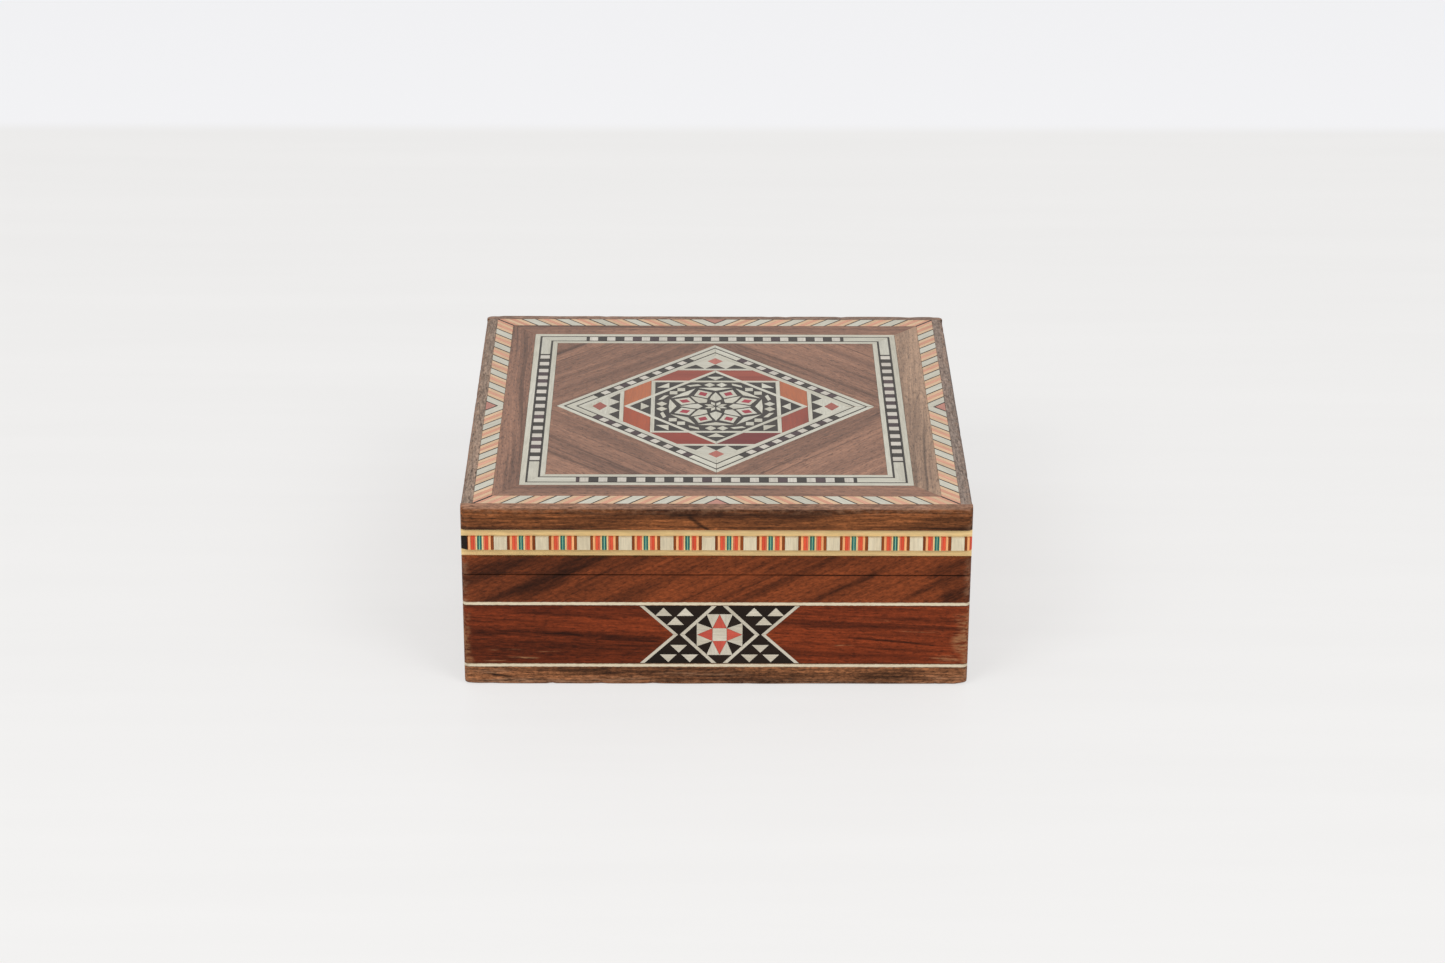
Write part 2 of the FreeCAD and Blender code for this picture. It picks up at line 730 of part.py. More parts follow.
def star():
    """Two crossed squares with bars across the lozenge's tips, and the inlays between them."""
    lines = fuse("star_lines", square_line("upright_square", 0), square_line("turned_square", 45))
    bar_half = "2 * star_half - star_reach"
    tip_half = "2 * star_half - bar_top"
    bars = [strip(f"bar_{turn}", centred(bar_half), centred(tip_half), ("star_reach", "bar_top"),
                  INLAY_Z, turn) for turn in QUARTERS]
    piece("star_and_bars", together("star_and_bars", [lines] + bars))
    tips = [strip(f"tip_{turn}", centred(tip_half), ("0", "0"), ("bar_top", "2 * star_half"), INLAY_Z, turn)
            for turn in QUARTERS]
    piece("lozenge_tips", together("lozenge_tips", tips))
    slants = []
    inner = "star_reach - star_half"
    for turn in QUARTERS:
        for name, near, far in (("left", ("-star_half", f"-({inner})"), (f"-({bar_half})", "0")),
                                ("right", (inner, "star_half"), ("0", bar_half))):
            slants.append(strip(f"slant_{name}_{turn}", near, far, ("star_half", "star_reach"),
                                INLAY_Z, turn))
    piece("red_slants", together("red_slants", slants))
    points = [strip(f"point_{turn}", centred("star_point - star_half"), ("0", "0"),
                    ("star_half", "star_point"), INLAY_Z, turn) for turn in EIGHTHS]
    piece("star_points", together("star_points", points))
    octagon = doc.addObject("Part::Prism", "octagon")
    octagon.Polygon = len(EIGHTHS)
    octagon.Placement = Placement(Vector(), Rotation(Vector(0, 0, 1), EIGHTHS[1] / 2))
    bind(octagon, Circumradius=f"star_inner / cos({EIGHTHS[1] / 2})", Height="inlay_thick",
         Placement__Base__z="board_top")
    piece("rosette", octagon)


# Hinges

def hinge_leaf(name, middle, spans, z, holes):
    """A leaf with its knuckles; between them it stops short of the other leaf's knuckles."""
    ends = (f"{middle} - hinge_length / 2", f"{middle} + hinge_length / 2")
    edge = "hinge_y - knuckle_radius - knuckle_room"
    parts = [block(f"{name}_plate", ends, ("hinge_y - leaf_width", edge), z)]
    for number, (low, high) in enumerate(spans):
        span = (f"{middle} + {low}", f"{middle} + {high}")
        parts.append(block(f"{name}_arm{number}", span, (edge, "hinge_y"), z))
        parts.append(rod(f"{name}_knuckle{number}", (span[0], "hinge_y", "seam"), "x", f"{high} - ({low})",
                         "knuckle_radius"))
    bore = rod(f"{name}_bore", (ends[0], "hinge_y", "seam"), "x", "hinge_length", "pin_radius + fit_gap")
    return cut(name, fuse(f"{name}_whole", *parts), bore, holes)


def hinges():
    """Two butt hinges: outer knuckles on the body, the middle one on the lid."""
    near = "knuckle_length / 2 + knuckle_gap"
    outer_spans = (("-hinge_length / 2", f"-({near})"), (near, "hinge_length / 2"))
    middle_span = (centred("knuckle_length / 2"),)
    body_leaves = []
    lid_leaves = []
    pins = []
    for side, middle in HINGES.items():
        body_leaves.append(hinge_leaf(f"body_leaf_{side}", middle, outer_spans, body_leaf_z,
                                      body_hinge_holes))
        lid_leaves.append(hinge_leaf(f"lid_leaf_{side}", middle, middle_span, lid_leaf_z, lid_hinge_holes))
        pins.append(rod(f"hinge_pin_{side}", (f"{middle} - hinge_length / 2", "hinge_y", "seam"), "x",
                        "hinge_length", "pin_radius"))
    piece("body_hinge_leaves", together("body_leaves", body_leaves))
    piece("lid_hinge_leaves", together("lid_leaves", lid_leaves))
    piece("hinge_pins", together("hinge_pins", pins))


# Lock, catch and key

def lock():
    """Case, cover, key post, escutcheon and leaf spring, all fixed in the front wall."""
    y = ("lock_front", "lock_back")
    shell = block("case_block", centred("lock_width / 2"), y, ("lock_low", "lock_top"))
    hollow = block("case_hollow", centred("lock_width / 2 - lock_wall"),
                   ("lock_front + lock_wall", "lock_back"), ("lock_low + lock_wall", "lock_top - lock_wall"))
    slot = block("case_slot", centred("catch_half + catch_room"),
                 ("bolt_front - catch_room", "bolt_front + bolt_thick + catch_room"),
                 ("lock_top - lock_wall", "lock_top"))
    hole = keyhole("case_keyhole", ("lock_front", "lock_front + lock_wall"))
    piece("lock_case", cut("lock_case", shell, hollow, slot, hole))
    cover = block("cover_plate", centred(cover_half), ("lock_back", "-room_y"),
                  ("lock_low - cover_margin", "lock_top"))
    piece("lock_cover", cut("lock_cover", cover, cover_holes))
    piece("key_post", rod("key_post", ("0", "lock_front", "key_z"), "y", "lock_depth", "post_radius"))
    plate = escutcheon("plate", "0")
    plate_hole = keyhole("plate_keyhole", ("-wall_y", "-wall_y + plate_thick"))
    piece("keyhole_plate", cut("keyhole_plate", plate, plate_hole))
    sag = "lock_top - lock_wall - nose_high - spring_gap"
    bend = f"(spring_half * spring_half + ({sag}) * ({sag})) / (2 * ({sag}))"
    middle_x = "bolt_left + spring_half"
    middle_z = f"nose_high + spring_gap + {bend}"
    outer = rod("spring_outer", (middle_x, "bolt_front", middle_z), "y", "bolt_thick", bend)
    inner = rod("spring_inner", (middle_x, "bolt_front", middle_z), "y", "bolt_thick",
                f"{bend} - spring_thick")
    kept = block("spring_kept", (f"{middle_x} - spring_half", f"{middle_x} + spring_half"),
                 ("bolt_front", "bolt_front + bolt_thick"), ("nose_high", "lock_top - lock_wall"))
    piece("bolt_spring", common("bolt_spring", cut("spring_ring", outer, inner), kept))


def bolt():
    """A flat bolt: its nose enters the catch's notch, and the key's bit turns in the talon below."""
    body = new_body("bolt_body")
    post = "bolt_left + bolt_post"
    corners = [("bolt_left", "bar_low"), ("-talon_half", "bar_low"), ("-talon_half", "bar_low + talon_depth"),
               ("talon_half", "bar_low + talon_depth"), ("talon_half", "bar_low"), ("bolt_reach", "bar_low"),
               ("bolt_reach", "bar_high"), (post, "bar_high"), (post, "notch_low + nose_gap"),
               ("nose_tip", "notch_low + nose_gap"), ("nose_tip", "nose_high"), ("bolt_left", "nose_high")]
    plan = outline(body, "bolt_plan", "XZ_Plane", corners, "-bolt_front")
    pad(body, "bolt_pad", plan, "bolt_thick", reverse=True)
    piece("lock_bolt", body)


def catch():
    """The plate under the lid's front rim, with the notched tongue that drops into the lock."""
    body = new_body("catch_body")
    plate = outline(body, "catch_plate_plan", "XZ_Plane", rectangle(centred("catch_plate / 2"), lid_leaf_z),
                    f"-({catch_y[0]})")
    pad(body, "catch_plate_pad", plate, "catch_plate_depth", reverse=True)
    corners = [("-catch_half", "lid_low"), ("-catch_half", "notch_high"), ("notch_end", "notch_high"),
               ("notch_end", "notch_low"), ("-catch_half", "notch_low"), ("-catch_half", "catch_low"),
               ("catch_half", "catch_low"), ("catch_half", "lid_low")]
    tongue = outline(body, "catch_tongue_plan", "XZ_Plane", corners, "-bolt_front")
    pad(body, "catch_tongue_pad", tongue, "bolt_thick", reverse=True)
    piece("lid_catch", cut("lid_catch", body, catch_holes))


def key():
    """A barrel key lying in its niche, bow to the front and bit down."""
    shank = rod("key_shank", ("key_x", "collar_y", "panel_mid"), "y", "key_tip - collar_y", "shank_radius")
    collar = rod("key_collar", ("key_x", "collar_y + bow_wire", "panel_mid"), "y",
                 "collar_length", "collar_radius")
    bow = doc.addObject("Part::Torus", "key_bow")
    bow.Placement = Placement(Vector(), TURNS["x"])
    bind(bow, Radius1="bow_radius", Radius2="bow_wire")
    bind(bow, Placement__Base__x="key_x", Placement__Base__y="bow_y", Placement__Base__z="panel_mid")
    bit = block("key_bit", ("key_x - bit_thick / 2", "key_x + bit_thick / 2"),
                ("key_tip - bit_length", "key_tip"), ("panel_mid - shank_radius - bit_drop", "panel_mid"))
    bore = rod("key_bore", ("key_x", "key_tip - bore_depth", "panel_mid"), "y", "bore_depth", "bore_radius")
    piece("key", cut("key", fuse("key_whole", shank, collar, bow, bit), bore))


# The whole box
stop_tools = stop_pins()
carcass()
outer_layers()
panels()
lid_rims()
lid_outside()
linings()
top_frames()
corner_fields()
lozenge()
star()
hinges()
lock()
bolt()
catch()
key()
piece("body_nails", together("body_nails", body_hinge_nails + cover_nails))
piece("lid_nails", together("lid_nails", lid_hinge_nails + catch_nails))
doc.recompute()

# Every object has to be sound before anything is written
for thing in doc.Objects:
    if "Invalid" in thing.State or "Error" in thing.State:
        raise RuntimeError(f"{thing.Name} did not build: {thing.State}")
for thing in pieces:
    if thing.Shape.isNull() or not thing.Shape.isValid() or not thing.Shape.Solids:
        raise RuntimeError(f"{thing.Label} has no sound shape")

os.makedirs("parts", exist_ok=True)
for thing in pieces:
    thing.Shape.exportStep(f"parts/{thing.Label}.step")
print(f"{len(pieces)} pieces written")
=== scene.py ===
import functools
import json
import math
import random

import bmesh
import bpy
from mathutils import Matrix, Vector, noise
from mathutils.geometry import delaunay_2d_cdt


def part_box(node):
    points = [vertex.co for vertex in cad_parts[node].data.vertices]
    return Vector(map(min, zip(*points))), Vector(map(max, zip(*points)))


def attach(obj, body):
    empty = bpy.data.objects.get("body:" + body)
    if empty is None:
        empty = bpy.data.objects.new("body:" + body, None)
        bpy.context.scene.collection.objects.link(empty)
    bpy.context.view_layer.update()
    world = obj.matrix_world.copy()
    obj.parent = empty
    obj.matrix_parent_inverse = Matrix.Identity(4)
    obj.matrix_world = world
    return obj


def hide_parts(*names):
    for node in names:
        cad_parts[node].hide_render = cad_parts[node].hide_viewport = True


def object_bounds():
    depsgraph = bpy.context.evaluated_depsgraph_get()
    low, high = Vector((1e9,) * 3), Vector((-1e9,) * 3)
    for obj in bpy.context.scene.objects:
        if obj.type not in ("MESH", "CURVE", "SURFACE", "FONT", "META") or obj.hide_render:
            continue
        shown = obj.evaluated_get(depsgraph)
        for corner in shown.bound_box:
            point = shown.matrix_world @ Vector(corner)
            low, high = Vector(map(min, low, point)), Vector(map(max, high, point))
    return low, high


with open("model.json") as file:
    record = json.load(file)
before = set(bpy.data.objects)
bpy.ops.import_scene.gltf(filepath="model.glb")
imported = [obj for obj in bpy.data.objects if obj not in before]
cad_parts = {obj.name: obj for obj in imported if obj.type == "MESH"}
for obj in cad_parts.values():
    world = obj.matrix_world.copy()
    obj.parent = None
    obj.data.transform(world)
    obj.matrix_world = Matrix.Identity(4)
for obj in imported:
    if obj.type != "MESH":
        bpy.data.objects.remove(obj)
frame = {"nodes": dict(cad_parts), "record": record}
cad_low, cad_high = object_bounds()

# Measures in millimetres, from the frame where it has them
MM = 0.001
HALF = cad_high.x / MM
TOP = cad_high.z / MM
CORNER_ROUND = 1.2
EDGE_ROUND = 0.9
SLOT_OF = {part["node"]: part["material_slot"] for part in frame["record"]["subparts"]}
SIDES = ("front", "right", "back", "left")

# The camera, in millimetres and degrees
CAMERA_PLACE = (-4.88, -798.42, 394.55)
CAMERA_PITCH = 24.788
CAMERA_YAW = 0.478
CAMERA_ROLL = 0.326
CAMERA_LENS = 87.136
SENSOR_WIDTH = 36.0


def colour(red, green, blue):
    """A colour as seen on a screen, 0 to 255, as the linear values that shaders use."""
    def linear(value):
        share = value / 255
        return share / 12.92 if share <= 0.04045 else ((share + 0.055) / 1.055) ** 2.4
    return (linear(red), linear(green), linear(blue), 1.0)


# Shaders

WEAR_REACH = 2.4
MARK_RIPPLE = (8.0, 0.0, 2.2)
MARK_REACH_IN = 1e3
GRAIN_DENT = 0.02
# Shares of a wood's dark tone that are left in streaks, marks and pores
DEEP_SHARE = 0.42
INK_SHARE = 0.2
PORE_SHARE = 0.5


class Shader:
    """A material whose nodes are added one call at a time."""

    def __init__(self, name):
        self.material = bpy.data.materials.new(name)
        self.material.use_nodes = True
        self.tree = self.material.node_tree
        self.surface = self.tree.nodes["Principled BSDF"]

    def feed(self, socket, value):
        if isinstance(value, bpy.types.NodeSocket):
            self.tree.links.new(value, socket)
        else:
            socket.default_value = value

    def node(self, kind, inputs, output=0, **settings):
        made = self.tree.nodes.new(f"ShaderNode{kind}")
        for key, value in settings.items():
            setattr(made, key, value)
        for key, value in inputs.items():
            self.feed(made.inputs[key], value)
        return made.outputs[output]

    def set(self, **inputs):
        for key, value in inputs.items():
            self.feed(self.surface.inputs[key.replace("_", " ")], value)

    def maths(self, operation, first, second=0.0):
        return self.node("Math", {0: first, 1: second}, operation=operation)

    def times(self, first, second):
        return self.maths("MULTIPLY", first, second)

    def distance(self, value, middle):
        return self.maths("ABSOLUTE", self.maths("SUBTRACT", value, middle))

    def axes(self, place):
        split = self.tree.nodes.new("ShaderNodeSeparateXYZ")
        self.feed(split.inputs[0], place)
        return split.outputs

    def step(self, value, low, high, start=0.0, end=1.0):
        """Goes smoothly from start to end while the value goes from low to high."""
        return self.node("MapRange", {"Value": value, "From Min": low, "From Max": high,
                                      "To Min": start, "To Max": end}, interpolation_type="SMOOTHSTEP")

    def blend(self, factor, first, second, mode="MIX"):
        return self.node("Mix", {0: factor, 6: first, 7: second}, 2, data_type="RGBA", blend_type=mode)

    def shaded(self, shade, value, low, high, start, end):
        """Multiplies a shade by what goes from start to end while the value goes from low to high."""
        return self.blend(1.0, shade, self.step(value, low, high, start, end), "MULTIPLY")

    def tinted(self, shade, mask, amount, tone):
        return self.blend(self.times(mask, amount), shade, tone)

    def noise(self, place, along, across, detail=2.0, roughness=0.5, up=None, output=0):
        """Noise that changes at its own rates along and across the grain, for each millimetre."""
        rates = (along, across, across if up is None else up)
        vector = self.node("Mapping", {"Vector": place, "Scale": rates})
        inputs = {"Vector": vector, "Scale": 1.0, "Detail": detail, "Roughness": roughness}
        return self.node("TexNoise", inputs, output)

    def millimetres(self, turn=(0, 0, 0), move=(0, 0, 0)):
        """The place on the object in millimetres, turned so that X runs along the grain."""
        lie = {"Vector": self.node("TexCoord", {}, "Object"), "Scale": (1 / MM, 1 / MM, 1 / MM),
               "Rotation": [math.radians(angle) for angle in turn], "Location": move}
        return self.node("Mapping", lie)

    def attribute(self, name, output):
        return self.node("Attribute", {}, output, attribute_name=name)

    def finished(self, height, depth, **inputs):
        """The material with its surface's inputs set and with dents of the given depth in millimetres."""
        normal = self.node("Bump", {"Height": height, "Strength": 1.0, "Distance": depth * MM})
        self.set(Normal=normal, **inputs)
        return self.material

    def edge_wear(self):
        """1 along the box's outer edges, fading to 0 within the reach of wear, broken up by noise."""
        place = self.millimetres()
        axes = self.axes(place)
        near = [self.step(self.maths("ABSOLUTE", axes[axis]), HALF - WEAR_REACH, HALF) for axis in "XY"]
        near.append(self.step(self.distance(axes["Z"], TOP / 2), TOP / 2 - WEAR_REACH, TOP / 2))
        pairs = [self.times(near[i], near[i - 1]) for i in range(3)]
        edge = self.maths("MAXIMUM", self.maths("MAXIMUM", pairs[0], pairs[1]), pairs[2])
        return self.times(edge, self.step(self.noise(place, 0.5, 0.9, 5, 0.7), 0.42, 0.66))

    def figure_marks(self, marks):
        """Streaks on the front: each has its middle, slope in degrees, half length, half width and depth."""
        place = self.millimetres()
        ripple = self.noise(place, 0.05, 0.12, 1.0, output="Color")
        centred = self.node("VectorMath", {0: ripple, 1: (0.5, 0.5, 0.5)}, operation="SUBTRACT")
        bent = self.node("VectorMath", {0: centred, 1: MARK_RIPPLE, 2: place}, operation="MULTIPLY_ADD")
        total = 0.0
        for along, up, slope, long, wide, depth in marks:
            lie = {"Vector": bent, "Location": (along, -HALF, up),
                   "Rotation": (0, -math.radians(slope), 0), "Scale": (long, MARK_REACH_IN, wide)}
            local = self.node("Mapping", lie, vector_type="TEXTURE")
            axes = self.axes(self.node("VectorMath", {0: local}, operation="ABSOLUTE"))
            fade = self.step(axes["X"], 0.45, 1.1, depth, 0.0)
            streak = self.times(self.step(axes["Z"], 0.1, 1.2, 1.0, 0.0), fade)
            total = self.maths("MAXIMUM", streak, total)
        return total


FINISH = {
    "lid": {"gloss": 0.34, "rough": 0.38},
    "side": {"gloss": 0.1, "rough": 0.44},
    "inside": {"gloss": 0.12, "rough": 0.6},
}


def dimmed(tone, share):
    return colour(*(part * share for part in tone))


def wood(name, pale, dark, finish, coords=None, figure=0.6, streak=0.0, spread=0.34, growth=0.0,
         fibre=0.3, speckle=0.0, pore=0.0, wear=0.0, wear_colour=(170, 128, 98), marks=(), flecks=(),
         seam=None, lit_top_tone=None):
    """Wood with broad figure, dark streaks, growth lines, fibres, speckle, pores and worn spots.

    The coords are the turn and the move of the grain; without them, each piece has its own grain.
    """
    shader = Shader(name)
    place = shader.millimetres(*coords) if coords else shader.attribute("grain", "Vector")
    sway = shader.noise(place, 0.018, 0.03, 2)
    shift = shader.node("CombineXYZ", {"Y": shader.step(sway, 0.2, 0.8, -0.7, 0.7)})
    bent = shader.node("VectorMath", {0: place, 1: shift}, operation="ADD")
    broad = shader.step(shader.noise(bent, 0.012, 0.16, 4, 0.6), 0.34, 0.66)
    shade = shader.blend(shader.times(broad, figure), colour(*pale), colour(*dark))
    deep = dimmed(dark, DEEP_SHARE)
    if streak:
        bands = shader.noise(bent, 0.009, spread, 4, 0.55)
        shade = shader.tinted(shade, shader.step(bands, 0.55, 0.7), streak, deep)
    if growth:
        rings = shader.noise(bent, 0.016, 1.7, 3, 0.66)
        shade = shader.shaded(shade, rings, 0.3, 0.7, 1 + growth * 0.8, 1 - growth)
    threads = shader.noise(place, 0.2, 2.2, 3, 0.7)
    if marks:
        broken = shader.step(threads, 0.3, 0.65, 1.0, 0.75)
        shade = shader.tinted(shade, shader.figure_marks(marks), broken, dimmed(dark, INK_SHARE))
    # Up-facing faces blend to a paler tone: painted light falling on the tops.
    if lit_top_tone:
        facing_up = shader.axes(shader.node("TexCoord", {}, "Normal"))["Z"]
        shade = shader.blend(shader.step(facing_up, 0.5, 0.95, 0.0, 0.72), shade, colour(*lit_top_tone))
    shade = shader.shaded(shade, threads, 0.28, 0.72, 1 - fibre, 1 + fibre * 0.7)
    if speckle:
        if coords:
            grit = shader.noise(shader.millimetres(), 0.75, 0.75, 3, 0.75, up=1.6)
        else:
            grit = shader.noise(place, 0.75, 1.6, 3, 0.75)
        shade = shader.shaded(shade, grit, 0.3, 0.7, 1 - speckle, 1 + speckle * 0.8)
    if flecks:
        scraped = shader.step(threads, 0.4, 0.62)
        shade = shader.tinted(shade, shader.figure_marks(flecks), scraped, colour(*wear_colour))
    if seam:
        in_box = shader.millimetres()
        close = shader.step(shader.distance(shader.axes(in_box)["Z"], seam), 0.05, 0.26, 0.7, 0.0)
        patchy = shader.step(shader.noise(in_box, 0.05, 0.05, 3), 0.36, 0.6, 1.0, 0.25)
        shade = shader.tinted(shade, close, patchy, deep)
    height = threads
    if pore:
        dashes = shader.step(shader.noise(place, 0.6, 2.6, 2, 0.6), 0.54, 0.68)
        shade = shader.tinted(shade, dashes, pore, dimmed(dark, PORE_SHARE))
        height = shader.maths("SUBTRACT", threads, dashes)
    if wear:
        shade = shader.tinted(shade, shader.edge_wear(), wear, colour(*wear_colour))
    if not coords:
        shade = shader.blend(1.0, shade, shader.attribute("tone", "Fac"), "MULTIPLY")
    rough = FINISH[finish]["rough"]
    return shader.finished(height, GRAIN_DENT, Base_Color=shade, Specular_IOR_Level=FINISH[finish]["gloss"],
                           Roughness=shader.step(threads, 0.2, 0.8, rough - 0.07, rough + 0.1))


# Colours of the small pieces: the main tone and the tone of its grain
STAINS = {
    "bone": ((204, 201, 187), (187, 181, 163)),
    "pink_bone": ((208, 202, 191), (193, 184, 171)),
    "black": ((68, 62, 57), (44, 40, 36)),
    "violet": ((84, 68, 70), (58, 46, 48)),
    "salmon": ((213, 159, 133), (200, 139, 112)),
    "peach": ((218, 184, 150), (204, 166, 130)),
    "rose": ((168, 98, 86), (146, 80, 70)),
    "dusty_rose": ((188, 134, 119), (172, 112, 99)),
    "pale_rose": ((182, 112, 99), (162, 92, 80)),
    "crimson": ((174, 64, 76), (146, 48, 60)),
    "brick": ((156, 80, 64), (120, 54, 44)),
    "orange": ((180, 106, 71), (148, 80, 51)),
    "vermilion": ((174, 88, 60), (142, 62, 43)),
    "maroon": ((130, 58, 54), (94, 38, 38)),
    "scarlet": ((153, 69, 55), (124, 48, 40)),
    "cream": ((231, 201, 146), (212, 178, 117)),
    "coral": ((216, 86, 58), (192, 66, 44)),
    "blush": ((218, 108, 82), (198, 86, 62)),
    "apricot": ((238, 176, 122), (222, 152, 96)),
    "teal": ((48, 112, 104), (34, 86, 82)),
    "mint": ((136, 184, 154), (104, 156, 130)),
    "brown": ((140, 72, 34), (104, 48, 22)),
}
SIDE_STAINS = {
    "bone": ((200, 193, 177), (186, 176, 154)),
    "black": ((38, 28, 21), (20, 14, 11)),
    "flower": ((196, 88, 72), (172, 68, 56)),
    "pearl": ((210, 198, 171), (196, 180, 149)),
}
WALNUTS = {
    "walnut": ((158, 116, 94), (92, 66, 55)),
    "pale_walnut": ((184, 150, 124), (116, 92, 77)),
}
BAND_STAINS = ("walnut", "pale_walnut", "walnut", "walnut")


@functools.cache
def stained(stain, finish):
    """The material of one kind of small piece on the lid or on a side."""
    name = f"{stain}_{finish}"
    if stain in WALNUTS:
        return wood(name, *WALNUTS[stain], finish, streak=0.5, spread=0.7, growth=0.14, fibre=0.22,
                    speckle=0.16, pore=0.5)
    stains = {**STAINS, **SIDE_STAINS} if finish == "side" else STAINS
    return wood(name, *stains[stain], finish, fibre=0.14)


# Faces of the box

class Face:
    """A flat side: a point is given along it, up it and into it, in millimetres."""

    def __init__(self, origin, along, up, out):
        self.origin, self.along, self.up, self.out = map(Vector, (origin, along, up, out))

    def place(self, along, up, depth):
        return (self.origin + self.along * along + self.up * up - self.out * depth) * MM

    def span(self, node):
        """The lowest and highest place along, up and into the face that a CAD node reaches."""
        corners = [corner / MM - self.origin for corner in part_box(node)]
        axes = (self.along, self.up, -self.out)
        return [sorted(corner.dot(axis) for corner in corners) for axis in axes]


FACES = {"lid": Face((0, 0, TOP), (1, 0, 0), (0, 1, 0), (0, 0, 1))}
for side, (x, y) in zip(SIDES, ((0, -1), (1, 0), (0, 1), (-1, 0))):
    FACES[side] = Face((x * HALF, y * HALF, 0), (-y, x, 0), (0, 0, 1), (x, y, 0))


def corner_set_back(along):
    """How far the sanded upright corner lies behind the flat face."""
    beyond = abs(along) - (HALF - CORNER_ROUND)
    if beyond <= 0:
        return 0.0
    return CORNER_ROUND - math.sqrt(max(CORNER_ROUND ** 2 - beyond ** 2, 0.0))


def linked(name, data):
    made = bpy.data.objects.new(name, data)
    bpy.context.scene.collection.objects.link(made)
    return made


def finished_mesh(bm, name):
    bmesh.ops.recalc_face_normals(bm, faces=bm.faces[:])
    mesh = bpy.data.meshes.new(name)
    bm.to_mesh(mesh)
    bm.free()
    return mesh


def add_object(name, mesh, materials, body, node):
    """A piece that rides on a body and stands for a CAD node."""
    made = linked(name, mesh)
    for material in materials:
        mesh.materials.append(material)
    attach(made, body)
    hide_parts(node)
    return made


def add_attributes(mesh, grain, tones):
    """Stores each point's place in its own wood and its piece's tone."""
    places = mesh.attributes.new("grain", "FLOAT_VECTOR", "POINT")
    places.data.foreach_set("vector", [value for place in grain for value in place])
    mesh.attributes.new("tone", "FLOAT", "POINT").data.foreach_set("value", tones)


# Marquetry

GLUE_LINE = 0.02
PIECE_EASE = 0.04
PIECE_LIFT = 0.035
TONE_SPREAD = 0.06
GRAIN_STRAY = 3
GRAIN_REACH = 900
VENEER_THICK = 0.9
SAME_POINT = 1e-4
LEAST_AREA = 0.03
MITRE_LIMIT = 2.5
ALL_TRIANGLES = 0


def cross(a, b):
    return a[0] * b[1] - b[0] * a[1]


def sides_of(loop):
    """Each corner of a closed outline with the corner after it."""
    return zip(loop, loop[1:] + loop[:1])


def corners_of(loop):
    """Each corner of a closed outline between the corners before and after it."""
    return zip(loop[-1:] + loop[:-1], loop, loop[1:] + loop[:1])


def area_of(corners):
    return sum(cross(a, b) for a, b in sides_of(corners)) / 2


def winding(corners, point):
    """How often an outline goes round a point, counter-clockwise."""
    turns = 0
    for a, b in sides_of(corners):
        if (a[1] > point[1]) != (b[1] > point[1]):
            if point[0] < a[0] + (b[0] - a[0]) * (point[1] - a[1]) / (b[1] - a[1]):
                turns += 1 if b[1] > a[1] else -1
    return turns


def filled(loops):
    """Points and triangles of the area that lies inside closed outlines."""
    points = []
    edges = []
    for loop in loops:
        first = len(points)
        points += loop
        edges += sides_of(list(range(first, len(points))))
    flat, _, triangles, origins, *_ = delaunay_2d_cdt(points, edges, [], ALL_TRIANGLES, SAME_POINT, True)
    inside = []
    for a, b, c in triangles:
        centre = (flat[a] + flat[b] + flat[c]) / 3
        if sum(winding(loop, centre) for loop in loops) > 0:
            inside.append((a, b, c))
    return flat, inside, origins


def drawn_in(loop, width):
    """An outline moved towards the wood on its left by a width."""
    moved_points = []
    for before, point, after in corners_of(loop):
        first = (point - before).normalized()
        second = (after - point).normalized()
        first, second = Vector((-first.y, first.x)), Vector((-second.y, second.x))
        shift = (first + second) / max(1 + first.dot(second), 1e-3)
        shift = shift.normalized() * min(shift.length, MITRE_LIMIT)
        moved_points.append(point + shift * width)
    return moved_points


def outlines(triangles, flat):
    """The closed outlines of an area, with the wood on their left, without points on straight runs."""
    steps = {step for loop in triangles for step in sides_of(loop)}
    open_steps = {}
    for a, b in sorted(steps):
        if (b, a) not in steps:
            open_steps.setdefault(a, []).append(b)
    loops = []
    while open_steps:
        start = next(iter(open_steps))
        loop = [start, open_steps[start].pop(0)]
        while loop[-1] != start:
            here, came = flat[loop[-1]], flat[loop[-2]] - flat[loop[-1]]
            turn = {b: (math.atan2(came.y, came.x) - math.atan2(*(flat[b] - here).yx)) % math.tau
                    for b in open_steps[loop[-1]]}
            after = min(turn, key=turn.get)
            open_steps[loop[-1]].remove(after)
            loop.append(after)
        open_steps = {a: ends for a, ends in open_steps.items() if ends}
        loops.append(straightened([flat[index] for index in loop[:-1]]))
    return [loop for loop in loops if len(loop) > 2]


def straightened(loop):
    kept = []
    for before, point, after in corners_of(loop):
        bend = abs(cross(point - before, after - point))
        if bend > 1e-3 * (point - before).length * (after - point).length:
            kept.append(point)
    return kept


